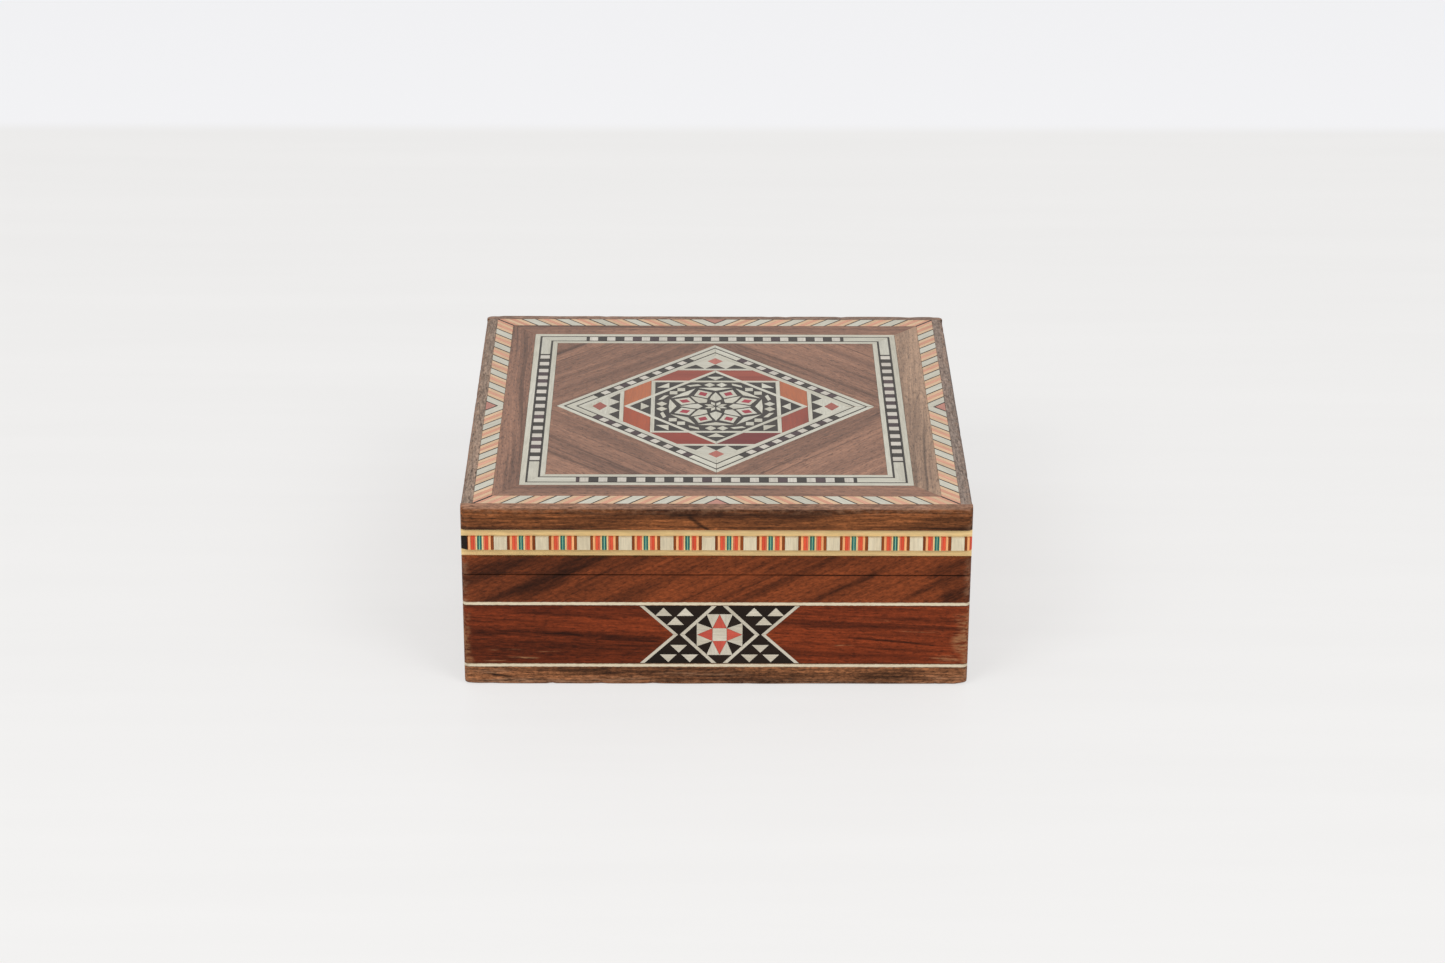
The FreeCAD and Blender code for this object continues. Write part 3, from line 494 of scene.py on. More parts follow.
class Marquetry:
    """Veneer pieces laid into a face. A piece laid later covers what it overlaps."""

    def __init__(self, face, finish, thick, seed):
        self.face = FACES[face]
        self.finish = finish
        self.thick = thick
        self.chance = random.Random(seed)
        self.pieces = []
        self.rounded = face != "lid"

    def lay(self, node, stain, corners, grain=0.0):
        self.pieces.append((node, stain, corners if area_of(corners) > 0 else corners[::-1], grain))

    def lay_turned(self, node, stain, corners, angle, off=0):
        """Lays a piece turned by an angle, with its grain a further angle off."""
        self.lay(node, stain, turned(corners, angle), angle + off)

    def owner(self, point):
        """The number of the piece laid last over a point, or None."""
        for number in reversed(range(len(self.pieces))):
            left, right, low, high = self.boxes[number]
            if left < point[0] < right and low < point[1] < high and winding(self.pieces[number][2], point):
                return number
        return None

    def visible_areas(self):
        """The areas that stay visible: the piece each belongs to and its outlines."""
        points = []
        loops = []
        self.boxes = []
        for _, _, corners, _ in self.pieces:
            loops.append(list(range(len(points), len(points) + len(corners))))
            points += [Vector(corner) for corner in corners]
            alongs, ups = zip(*corners)
            self.boxes.append((min(alongs), max(alongs), min(ups), max(ups)))
        flat, _, triangles, *_ = delaunay_2d_cdt(points, [], loops, ALL_TRIANGLES, SAME_POINT, False)
        owners = [self.owner((flat[a] + flat[b] + flat[c]) / 3) for a, b, c in triangles]
        beside = {}
        for number, (owner, triangle) in enumerate(zip(owners, triangles)):
            for side in sides_of(triangle):
                beside.setdefault((owner, frozenset(side)), []).append(number)
        areas = []
        seen = set()
        for first, owner in enumerate(owners):
            if first in seen or owner is None:
                continue
            area = []
            waiting = [first]
            seen.add(first)
            while waiting:
                triangle = triangles[waiting.pop()]
                area.append(triangle)
                sides = [(owner, frozenset(side)) for side in sides_of(triangle)]
                found = sorted({number for side in sides for number in beside[side]} - seen)
                seen.update(found)
                waiting += found
            loops = outlines(area, flat)
            if sum(area_of(loop) for loop in loops) > LEAST_AREA:
                areas.append((owner, loops))
        return areas

    def build(self, body, name=None):
        """One object for each CAD node that the pieces stand for."""
        areas = self.visible_areas()
        for node in dict.fromkeys(piece[0] for piece in self.pieces):
            own = [area for area in areas if self.pieces[area[0]][0] == node]
            self.build_node(node, own, body, name or f"{node}_veneer")

    def build_node(self, node, areas, body, name):
        stains = list(dict.fromkeys(self.pieces[owner][1] for owner, _ in areas))
        bm = bmesh.new()
        grain = []
        tones = []
        for owner, loops in areas:
            _, stain, _, direction = self.pieces[owner]
            angle = math.radians(direction + self.chance.uniform(-GRAIN_STRAY, GRAIN_STRAY))
            offset = self.chance.uniform(0, GRAIN_REACH)
            tone = 1 + self.chance.uniform(-TONE_SPREAD, TONE_SPREAD)
            lift = self.chance.uniform(0, PIECE_LIFT)
            verts, faces = cut_piece(bm, loops, self.thick)
            for face in faces:
                face.material_index = stains.index(stain)
            for vert in verts:
                along, up, high = vert.co
                across = Matrix.Rotation(-angle, 2) @ Vector((along, up))
                grain.append((across.x + offset, across.y + offset, high))
                tones.append(tone)
                depth = self.thick - high + (lift if high > 0 else 0)
                if self.rounded:
                    depth = max(depth, corner_set_back(along))
                vert.co = self.face.place(along, up, depth)
        mesh = finished_mesh(bm, f"{node}_veneer")
        add_attributes(mesh, grain, tones)
        add_object(name, mesh, [stained(stain, self.finish) for stain in stains], body, node)


def cut_piece(bm, loops, thick):
    """A closed piece of veneer with a glue line round it and eased upper edges."""
    loops = [drawn_in(loop, GLUE_LINE) for loop in loops]
    eased = [drawn_in(loop, PIECE_EASE) for loop in loops]
    levels = [(loops, 0.0), (loops, thick - PIECE_EASE), (eased, thick)]
    rings = [[[bm.verts.new((*point, high)) for point in loop] for loop in level] for level, high in levels]
    faces = []
    for lower, upper in zip(rings, rings[1:]):
        for low, high in zip(lower, upper):
            for k in range(len(low)):
                faces.append(bm.faces.new((low[k - 1], low[k], high[k], high[k - 1])))
    crossings = []
    for ring, (level, high) in ((rings[0], levels[0]), (rings[-1], levels[-1])):
        rim = [vert for loop in ring for vert in loop]
        flat, triangles, origins = filled(level)
        cap = {}
        for index in sorted({index for corners in triangles for index in corners}):
            if origins[index]:
                cap[index] = rim[origins[index][0]]
            else:
                cap[index] = bm.verts.new((*flat[index], high))
                crossings.append(cap[index])
        faces += [bm.faces.new([cap[index] for index in corners]) for corners in triangles]
    return [vert for ring in rings for loop in ring for vert in loop] + crossings, faces


def turned(corners, degrees):
    rotation = Matrix.Rotation(math.radians(degrees), 2)
    return [tuple(rotation @ Vector(corner)) for corner in corners]


def moved(corners, along, up):
    return [(corner[0] + along, corner[1] + up) for corner in corners]


def flipped(corners):
    return [(-corner[0], corner[1]) for corner in corners]


def rectangle(low, high, bottom, top):
    return [(low, bottom), (high, bottom), (high, top), (low, top)]


def diamond(half_wide, half_high):
    return [(half_wide, 0), (0, half_high), (-half_wide, 0), (0, -half_high)]


# The lid's pattern, in millimetres from its middle

QUARTERS = (0, 90, 180, 270)
EIGHTHS = range(0, 360, 45)
BORDER_OUT = 57.2
BORDER_IN = 52.9
BAND_IN = 46.8
VIOLET_SHARE = 0.3
FRAME_STEPS = (46.8, 45.4, 44.95, 42.5, 42.05, 40.8)
FRAME_SQUARES = {"whites": 15, "pitch": 4.5, "white": 2.2, "end": 0.8}
FIELD = 40.8
LOZENGE_STEPS = (28.0, 26.8, 26.38, 24.62, 24.26, 22.9)
LOZENGE_SQUARES = {"whites": 7, "pitch": 4.5, "white": 2.15, "end": 2.35}
STAR_HALF = 16.2
STAR_LINE = 1.05
STAR_REACH = LOZENGE_STEPS[-1]
TIP_REACH = STAR_REACH * math.sqrt(2)
BAR = 1.05


def striped_border(art, turn):
    """Slips that lean towards the middle of the side and end at the mitres."""
    depth = BORDER_OUT - BORDER_IN
    centre, thin, white, slip, mitre, whites = 2.6, 0.5, 3.15, 1.57, 0.35, 6
    group = [("black", thin), ("bone", white), ("black", thin)]
    group += [("peach", slip), ("salmon", slip), ("peach", slip)]
    run = group * whites + [("salmon", slip)]
    reach = centre
    slips = []
    for stain, width in run:
        reach = min(reach + width, BORDER_OUT - mitre)
        slips.append((stain, reach))
    slips.append(("black", BORDER_OUT))
    for grain in (135, 45):
        for stain, far in reversed(slips):
            inner = min(far, depth)
            corners = [(0, -BORDER_OUT), (far, -BORDER_OUT), (far - inner, inner - BORDER_OUT),
                       (0, inner - BORDER_OUT)]
            corners = corners[:3] if far <= depth else corners
            corners = corners if grain > 90 else flipped(corners)
            art.lay_turned("striped_border", stain, corners, turn, grain)
    triangle = [(-centre, -BORDER_OUT), (centre, -BORDER_OUT), (0, centre - BORDER_OUT)]
    art.lay_turned("striped_border", "dusty_rose", triangle, turn)


def mitred_side(art, node, stain, outer, inner, angle):
    corners = [(-outer, -outer), (outer, -outer), (inner, -inner), (-inner, -inner)]
    art.lay_turned(node, stain, corners, angle)


def mitred_ring(art, node, stain, outer, inner, turn=0):
    for quarter in QUARTERS:
        mitred_side(art, node, stain, outer, inner, turn + quarter)


def checker_run(art, node, outer, inner, turn, whites, pitch, white, end):
    """White and black squares along each side of a ring, ending in black."""
    middles = [(k - (whites - 1) / 2) * pitch for k in range(whites)]
    squares = [(middle - white / 2, middle + white / 2) for middle in middles]
    run = squares[-1][1]
    blacks = [(left[1], right[0]) for left, right in zip(squares, squares[1:])]
    blacks += [(run, run + end), (-run - end, -run)]
    for quarter in QUARTERS:
        for low, high in squares:
            art.lay_turned(node, "pink_bone", rectangle(low, high, -outer, -inner), turn + quarter, 90)
        for low, high in blacks:
            stain = "violet" if art.chance.random() < VIOLET_SHARE else "black"
            art.lay_turned(node, stain, rectangle(low, high, -outer, -inner), turn + quarter, 90)


def lined_border(art, name, steps, squares, turn):
    """Two white lines with a channel of squares between thin black lines."""
    lines, run = f"{name}_lines", f"{name}_checker_run"
    rings = ((lines, "bone"), (run, "black"), (run, "bone"), (run, "black"), (lines, "bone"))
    for (node, stain), outer, inner in zip(rings, steps, steps[1:]):
        mitred_ring(art, node, stain, outer, inner, turn)
    checker_run(art, run, steps[2], steps[3], turn, **squares)


SLANT_STAINS = ("scarlet", "maroon", "brick", "orange", "brick", "brick", "orange", "vermilion")


def star(art):
    """The eight-point star, the bars that cut off the lozenge's tips and the red pieces between."""
    crossing = STAR_REACH - STAR_HALF
    slant = [(crossing, STAR_HALF), (STAR_HALF, STAR_HALF),
             (TIP_REACH - STAR_REACH, STAR_REACH), (0, STAR_REACH)]
    bar_out = STAR_REACH + BAR
    tip_half = TIP_REACH - bar_out
    tip = [(-tip_half, bar_out), (tip_half, bar_out), (0, TIP_REACH)]
    bar = [(STAR_REACH - TIP_REACH, STAR_REACH), (TIP_REACH - STAR_REACH, STAR_REACH),
           (tip_half, bar_out), (-tip_half, bar_out)]
    outer_tooth = [(2.75, 0), (8.1, 0), (4.95, 2.6)]
    teeth = ([(-2.65, 0), (2.65, 0), (0, 2.7)], outer_tooth, flipped(outer_tooth))
    jewels = (("pale_rose", diamond(1.95, 2.1)), ("rose", diamond(2.5, 1.85)))
    for quarter, angle in enumerate(QUARTERS):
        art.lay_turned("lozenge_tips", "bone", tip, angle)
        art.lay_turned("star_and_bars", "bone", bar, angle)
        for tooth in teeth:
            art.lay_turned("lozenge_tips", "black", moved(tooth, 0, bar_out), angle)
        stain, jewel = jewels[quarter % 2]
        art.lay_turned("lozenge_tips", stain, moved(jewel, 0, bar_out + 4.9), angle, 90)
        for stain, corners in zip(SLANT_STAINS[2 * quarter:], (slant, flipped(slant))):
            art.lay_turned("red_slants", stain, corners, angle + 180, -180)
    inner = STAR_HALF - STAR_LINE
    mitred_ring(art, "star_and_bars", "bone", STAR_HALF, inner)
    mitred_ring(art, "star_and_bars", "bone", STAR_HALF, inner, 45)
    apex = inner * math.sqrt(2)
    base = apex - STAR_HALF
    middle = (apex + STAR_HALF) / 2
    point = [(STAR_HALF, -base), (apex, 0), (STAR_HALF, base)]
    inset = [(STAR_HALF + 0.25, 0), (middle - 0.1, base / 2 - 0.35), (middle - 0.1, 0.35 - base / 2)]
    for angle in EIGHTHS:
        art.lay_turned("star_points", "black", point, angle)
        art.lay_turned("star_points", "bone", inset, angle, 90)


def rosette(art):
    """The octagon in the middle: squares and slivers at its rim, petals and jewelled kites within."""
    inner = STAR_HALF - STAR_LINE
    corner = inner * math.tan(math.radians(22.5))
    octagon = [point for angle in EIGHTHS for point in turned([(inner, corner)], angle)]
    art.lay("rosette", "black", octagon)
    sliver = [(13.4, -1.8), (14.5, -1.2), (14.9, 1.8), (13.8, 1.2)]
    boat = [(11.5, -4.45), (11.75, 0), (11.5, 4.45), (9.75, 0)]
    kite = turned([(11.2, 0)], 22.5) + turned([(8.6, 0)], 39.5) + turned([(5.4, 0)], 22.5)
    kite += turned([(8.6, 0)], 5.5)
    petal = [(8.9, 0), (6.3, 1.1), (4.4, 1.55), (3.2, 0), (4.4, -1.55), (6.3, -1.1)]
    red_jewel = moved(diamond(1.5, 1.25), 8.35, 0)
    seed = moved(diamond(1.35, 0.6), 1.75, 0)
    pieces = (("bone", sliver, 22.5, 0), ("bone", boat, 0, 90), ("bone", kite, 0, 0),
              ("crimson", red_jewel, 22.5, 0), ("bone", petal, 0, 0), ("bone", seed, 22.5, 0))
    for angle in EIGHTHS:
        for side in (-1, 1):
            square = moved(diamond(1.42, 1.42), 13.45, 1.5 * side)
            art.lay("rosette", "bone", turned(square, angle + art.chance.uniform(-1, 1)), angle)
        for stain, corners, turn, grain in pieces:
            art.lay("rosette", stain, turned(corners, angle + turn), angle + grain)


def lid_top():
    art = Marquetry("lid", "lid", VENEER_THICK, seed=11)
    for angle in QUARTERS:
        striped_border(art, angle)
    for angle, stain in zip(QUARTERS, BAND_STAINS):
        mitred_side(art, "walnut_band", stain, BORDER_IN, BAND_IN, angle)
    lined_border(art, "frame", FRAME_STEPS, FRAME_SQUARES, 0)
    for angle in QUARTERS:
        art.lay_turned("corner_fields", "walnut", rectangle(0, FIELD, 0, FIELD), angle, 135)
    lined_border(art, "lozenge", LOZENGE_STEPS, LOZENGE_SQUARES, 45)
    star(art)
    rosette(art)
    art.build("lid")


# Patterns of the sides

MOTIF_SHIFT = 0.8
MOTIF_HALF = 19.0
MOTIF_WAIST = 11.0
FILLET = 0.8
MOTIF_TIP = 9.1
FLOWER_HALF = 1.7
# White triangles in the corners of the bow tie: the middle of each one's base and its height
SMALL_TRIANGLES = ((8.15, 4.95, 2.2), (13.3, 4.95, 2.2), (10.5, 2.55, 2.2),
                   (9.7, -2.75, -2.1), (7.1, -5.3, -2.1), (12.2, -5.3, -2.1))
MOSAIC_PITCH = 9.755
MOSAIC_FIRST = {"front": -50.7, "right": -47.3, "back": -52.6, "left": -49.0}
MOSAIC_THICK = 1.2
MOSAIC_LINE_LOW = 1.8
MOSAIC_LINE_HIGH = 1.9
MOSAIC_SLIPS = (("pearl", 3.12), ("brown", 0.6), ("apricot", 0.6), ("coral", 0.7), ("blush", 0.44),
                ("cream", 0.41), ("teal", 0.39), ("mint", 0.27), ("teal", 0.39), ("cream", 0.45),
                ("blush", 0.42), ("coral", 0.68), ("apricot", 0.6), ("brown", 0.68))
MOSAIC_CHIP = 1.5
LEAST_SLIP = 0.2


def bow_tie(art, node, half_high):
    """The bow tie round its own middle: fillets, a diamond, a flower and small triangles."""
    steep = (MOTIF_HALF - MOTIF_WAIST) / half_high
    outline = [(-MOTIF_HALF, -half_high), (MOTIF_HALF, -half_high), (MOTIF_WAIST, 0),
               (MOTIF_HALF, half_high), (-MOTIF_HALF, half_high), (-MOTIF_WAIST, 0)]
    for half in (outline[:3] + outline[5:], outline[2:]):
        art.lay(node, "black", half)
    for sign in (1, -1):
        for along, base, high in SMALL_TRIANGLES:
            art.lay(node, "bone", moved([(-2.05, 0), (2.05, 0), (0, high)], sign * along, base))
    cut = MOTIF_TIP - half_high
    inner = [(MOTIF_TIP, 0), (cut, half_high), (-cut, half_high), (-MOTIF_TIP, 0),
             (-cut, -half_high), (cut, -half_high)]
    art.lay(node, "black", inner)
    over = FILLET * 0.5
    wide = FILLET * math.hypot(1, steep)
    inner_fillet = [(MOTIF_TIP + over, 0), (cut + over, half_high), (cut - FILLET, half_high),
                    (MOTIF_TIP - FILLET, 0)]
    outer_fillet = [(MOTIF_WAIST, 0), (MOTIF_HALF, half_high), (MOTIF_HALF - wide, half_high),
                    (MOTIF_WAIST - wide, 0)]
    for sign_along in (1, -1):
        for sign_up in (1, -1):
            for fillet in (inner_fillet, outer_fillet):
                corners = [(a * sign_along, b * sign_up) for a, b in fillet]
                art.lay(node, "bone", corners, 45 * sign_along * sign_up)
    base = [(-FLOWER_HALF, FLOWER_HALF), (FLOWER_HALF, FLOWER_HALF)]
    for angle in QUARTERS:
        art.lay_turned(node, "bone", base + [(3.15, 5.45), (-3.15, 5.45)], angle, 90)
        art.lay_turned(node, "flower", base + [(0, 5.35)], angle, 90)
    art.lay(node, "bone", rectangle(-FLOWER_HALF, FLOWER_HALF, -FLOWER_HALF, FLOWER_HALF))


def side_motifs():
    """The bow ties: those on the sliding panels ride with them."""
    for number, side in enumerate(SIDES):
        sliding = side in ("front", "right")
        node = f"{side}_bow_tie" if sliding else "fixed_bow_ties"
        low, high = (FACES[side].span(node) if sliding else FACES["front"].span("front_bow_tie"))[1]
        art = Marquetry(side, "side", VENEER_THICK, seed=30 + number)
        bow_tie(art, node, (high - low) / 2)
        art.pieces = [(name, stain, moved(corners, MOTIF_SHIFT, (high + low) / 2), grain)
                      for name, stain, corners, grain in art.pieces]
        art.build(f"{side}_panel" if sliding else "box", f"{side}_bow_tie_veneer")


def mosaic_band(side, number):
    """A band of cut slips between two boxwood lines, starting where the strip happened to be cut."""
    low, high = FACES["front"].span("mosaic_bands")[1]
    end = HALF if side in ("front", "back") else HALF - MOSAIC_THICK
    art = Marquetry(side, "side", MOSAIC_THICK, seed=50 + number)
    bottom, top = low + MOSAIC_LINE_LOW, high - MOSAIC_LINE_HIGH
    art.lay("mosaic_bands", "cream", rectangle(-end, end, low, bottom))
    art.lay("mosaic_bands", "cream", rectangle(-end, end, top, high))
    start = MOSAIC_FIRST[side] - MOSAIC_SLIPS[0][1] / 2 - MOSAIC_PITCH
    while start < end:
        left = start
        for stain, width in MOSAIC_SLIPS:
            cut_low, cut_high = max(left, -end), min(left + width, end)
            if cut_high - cut_low > LEAST_SLIP:
                art.lay("mosaic_bands", stain, rectangle(cut_low, cut_high, bottom, top), 90)
            left += width
        start += MOSAIC_PITCH
    if side == "front":
        art.lay("mosaic_bands", "black", rectangle(-end, MOSAIC_CHIP - end, bottom, top), 90)
    art.build("lid", f"{side}_mosaic_veneer")


# Worn walnut strips along the lid's top edge and the foot

def smooth_noise(*place):
    return noise.noise(Vector(place))


class WornStrip:
    """A solid strip whose outer edge is rounded, waved and chipped by handling."""

    RING = 0.7
    ARC_POINTS = 7
    FACE_POINTS = 5
    CORNER_POINTS = 5
    CHIPS = 9
    UNWORN_ROUND = 0.12
    LEAST_WALL = 0.1
    CORNER_NEAR = 0.1
    CORNER_WEAR = 0.6
    CORNER_REACH = 2.0
    DENT = 0.05
    SHARP_ANGLE = math.radians(50)

    def __init__(self, node, side, worn_edge, body, stain, seed):
        self.face = FACES[side]
        self.span_along, self.span_up, self.span_in = self.face.span(node)
        self.corners = [end for end in self.span_along if abs(end) > HALF - self.CORNER_NEAR]
        self.worn_edge = worn_edge
        self.seed = seed
        chance = random.Random(seed)
        low, high = self.span_along
        self.chips = [(chance.uniform(low, high), chance.uniform(0.15, 0.6) ** 1.3, chance.uniform(0.4, 1.6))
                      for _ in range(self.CHIPS)]
        self.offset = chance.uniform(0, 500)
        self.build(node, body, stain)

    def stations(self):
        low, high = self.span_along
        count = round((high - low) / self.RING)
        turns = [math.pi / 2 * k / self.CORNER_POINTS for k in range(self.CORNER_POINTS)]
        rounded = [CORNER_ROUND * (1 - math.cos(turn)) for turn in turns]
        places = {low + (high - low) * k / count for k in range(count + 1)}
        places.update(low + s for s in rounded)
        places.update(high - s for s in rounded)
        return sorted(places)

    def edge_radius(self, along):
        radius = EDGE_ROUND * (1.0 + 0.25 * smooth_noise(along * 0.11, self.seed, 0.3))
        for place, size, width in self.chips:
            radius += size * math.exp(-((along - place) / width) ** 2)
        for end in self.corners:
            radius += self.CORNER_WEAR * math.exp(-((along - end) / self.CORNER_REACH) ** 2)
        return radius

    def profile(self, along):
        """Points up and into the face, round the section from its inner corners."""
        low, high = self.span_up
        back = self.span_in[1]
        at_corner = any(abs(along - end) < CORNER_ROUND for end in self.corners)
        set_back = corner_set_back(along) if at_corner else 0.0
        radius = {"high": self.UNWORN_ROUND, "low": self.UNWORN_ROUND}
        radius[self.worn_edge] = min(self.edge_radius(along), back - set_back - self.LEAST_WALL)
        upper, lower = radius["high"], radius["low"]
        turns = [math.pi / 2 * k / (self.ARC_POINTS - 1) for k in range(self.ARC_POINTS)]
        points = [(low, back), (high, back)]
        points += [(high - upper * (1 - math.cos(turn)), set_back + upper * (1 - math.sin(turn)))
                   for turn in turns]
        top, bottom = high - upper, low + lower
        for k in range(1, self.FACE_POINTS):
            up = top + (bottom - top) * k / self.FACE_POINTS
            dent = self.DENT * max(smooth_noise(along * 0.2, up * 0.5, self.seed), 0)
            points.append((up, set_back + dent))
        points += [(low + lower * (1 - math.sin(turn)), set_back + lower * (1 - math.cos(turn)))
                   for turn in turns]
        return points

    def build(self, node, body, stain):
        rings = [(along, self.profile(along)) for along in self.stations()]
        count = len(rings[0][1])
        bm = bmesh.new()
        verts = []
        grain = []
        for along, profile in rings:
            for up, depth in profile:
                verts.append(bm.verts.new(self.face.place(along, up, depth)))
                grain.append((along + self.offset, up + self.offset, depth))
        bm.faces.new(verts[:count])
        bm.faces.new(verts[:-count - 1:-1])
        for start in range(0, len(verts) - count, count):
            for k in range(count):
                first, second = start + k, start + (k + 1) % count
                bm.faces.new([verts[index] for index in (first, first + count, second + count, second)])
        mesh = finished_mesh(bm, f"{node}_worn")
        mesh.shade_smooth()
        mesh.set_sharp_from_angle(angle=self.SHARP_ANGLE)
        add_attributes(mesh, grain, [1.0] * len(verts))
        add_object(f"{node}_worn", mesh, [stain], body, node)


# The lid's edge strips: the main tone, the tone of the grain and the paler tone painted on the top as light
# falling on the up-facing faces
EDGE_WOODS = {
    "front": ((152, 91, 51), (56, 30, 17), (164, 126, 105)),
    "right": ((136, 84, 52), (58, 33, 21), (160, 144, 133)),
    "back": ((138, 88, 58), (62, 38, 25), (158, 133, 118)),
    "left": ((132, 86, 58), (60, 37, 26), (162, 144, 129)),
}
FOOT_WOOD = ((152, 99, 64), (54, 30, 18))
# Dark marks and worn flecks on the front, as Shader.figure_marks takes them
EDGE_MARKS = (
    (-4, 42.7, -34, 3.8, 0.55, 0.9), (-46, 44.2, -3, 9, 0.8, 0.6), (-8.5, 44.6, 4, 4, 0.8, 0.6),
    (54, 43.2, 3, 10, 2, 0.6), (10, 41.7, 0, 5, 0.5, 0.5), (32, 43.6, 2, 9, 0.5, 0.4))
FOOT_MARKS = (
    (-50.8, 2.7, -15, 5, 0.45, 0.9), (-48, 1.3, 0, 9, 0.5, 0.7), (-11, 1, 2, 6, 0.6, 0.6),
    (21, 2.9, -2, 5, 0.6, 0.5), (44, 1.6, 3, 8, 0.5, 0.5), (40, 3, 2, 9, 1.7, 0.75),
    (-31, 3.5, 0, 8, 1.1, 0.65), (8, 0.6, 0, 9, 0.7, 0.5))
FOOT_FLECKS = (
    (-49, 1, -3, 9, 1, 0.7), (-53, 3.7, 0, 5, 0.8, 0.5), (-37, 0.8, -2, 7, 0.8, 0.6),
    (-26, 1.5, 0, 10, 0.8, 0.5), (-4, 2.6, 0, 12, 0.7, 0.45), (26, 0.8, 2, 9, 0.6, 0.5),
    (47, 0.3, 4, 3, 0.4, 0.9), (54, 2.2, 0, 6, 1.2, 0.4))


def front_only(side, marks):
    return marks if side == "front" else ()


def worn_strips():
    for number, side in enumerate(SIDES):
        # The third tone is painted light on the strip's up-facing top.
        pale, dark, lit_top_tone = EDGE_WOODS[side]
        edge_wood = wood(
            f"walnut_edge_{side}", pale, dark, "side", figure=0.95, streak=0.9, growth=0.4, fibre=0.4,
            speckle=0.3, pore=0.55, wear=0.3, marks=front_only(side, EDGE_MARKS), lit_top_tone=lit_top_tone)
        foot_wood = wood(
            f"walnut_foot_{side}", *FOOT_WOOD, "side", figure=0.85, streak=0.9, growth=0.5, fibre=0.45,
            speckle=0.5, pore=0.6, wear=0.5, marks=front_only(side, FOOT_MARKS),
            flecks=front_only(side, FOOT_FLECKS))
        WornStrip(f"lid_{side}_edge", side, "high", "lid", edge_wood, 70 + number)
        WornStrip(f"{side}_plinth", side, "low", "box", foot_wood, 80 + number)


# Felt linings

FELT_CELLS = 70
FELT_RIM = 0.62
FELT_PILE = 0.3
FELT_SOFT_EDGE = 1.6
FELT_WAVE = 0.05


def felt():
    shader = Shader("felt")
    place = shader.millimetres()
    tufts = shader.noise(place, 1.1, 1.1, 6, 0.7)
    hairs = shader.noise(place, 9.0, 9.0, 3, 0.7)
    worn = shader.step(shader.noise(place, 0.06, 0.06, 3), 0.3, 0.75)
    shade = shader.blend(shader.step(tufts, 0.3, 0.7), colour(86, 9, 17), colour(152, 34, 42))
    shade = shader.tinted(shade, hairs, 0.5, colour(172, 60, 62))
    shade = shader.tinted(shade, worn, 0.4, colour(134, 52, 50))
    height = shader.maths("ADD", tufts, shader.times(hairs, 0.5))
    return shader.finished(height, 0.25, Base_Color=shade, Roughness=1.0, Specular_IOR_Level=0.1,
                           Sheen_Weight=0.35, Sheen_Roughness=0.5)


def lining(node, body, material, facing):
    """A cut felt sheet glued down, a little uneven, with soft edges."""
    low, high = (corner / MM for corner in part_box(node))
    wide = FELT_CELLS + 1
    bm = bmesh.new()
    layers = ([], [])
    for level, layer in enumerate(layers):
        for number in range(wide ** 2):
            row, column = divmod(number, wide)
            x = low.x + (high.x - low.x) * column / FELT_CELLS
            y = low.y + (high.y - low.y) * row / FELT_CELLS
            rim = min(x - low.x, high.x - x, y - low.y, high.y - y)
            thick = (high.z - low.z) * (FELT_RIM + FELT_PILE * min(rim / FELT_SOFT_EDGE, 1) ** 0.5)
            thick += FELT_WAVE * smooth_noise(x * 0.12, y * 0.12, low.z)
            z = low.z + thick * level if facing > 0 else high.z - thick * level
            layer.append(bm.verts.new(Vector((x, y, z)) * MM))
    for row in range(FELT_CELLS):
        for column in range(FELT_CELLS):
            first = row * wide + column
            corners = (first, first + 1, first + wide + 1, first + wide)
            for layer in layers:
                bm.faces.new([layer[index] for index in corners])
    bmesh.ops.bridge_loops(bm, edges=[edge for edge in bm.edges if edge.is_boundary])
    mesh = finished_mesh(bm, f"{node}_felt")
    mesh.shade_smooth()
    made = add_object(f"{node}_felt", mesh, [material], body, node)


# Materials of the CAD nodes that stay in view

def metal(name, bright, dull, rough):
    shader = Shader(name)
    place = shader.millimetres()
    cloud = shader.step(shader.noise(place, 0.35, 0.35, 5, 0.65), 0.35, 0.7)
    scratch = shader.noise(place, 0.5, 12.0, 2, 0.6)
    shade = shader.blend(cloud, colour(*bright), colour(*dull))
    shade = shader.shaded(shade, scratch, 0.3, 0.7, 0.82, 1.1)
    return shader.finished(scratch, 0.012, Base_Color=shade, Metallic=1.0,
                           Roughness=shader.step(cloud, 0, 1, rough, rough + 0.22))


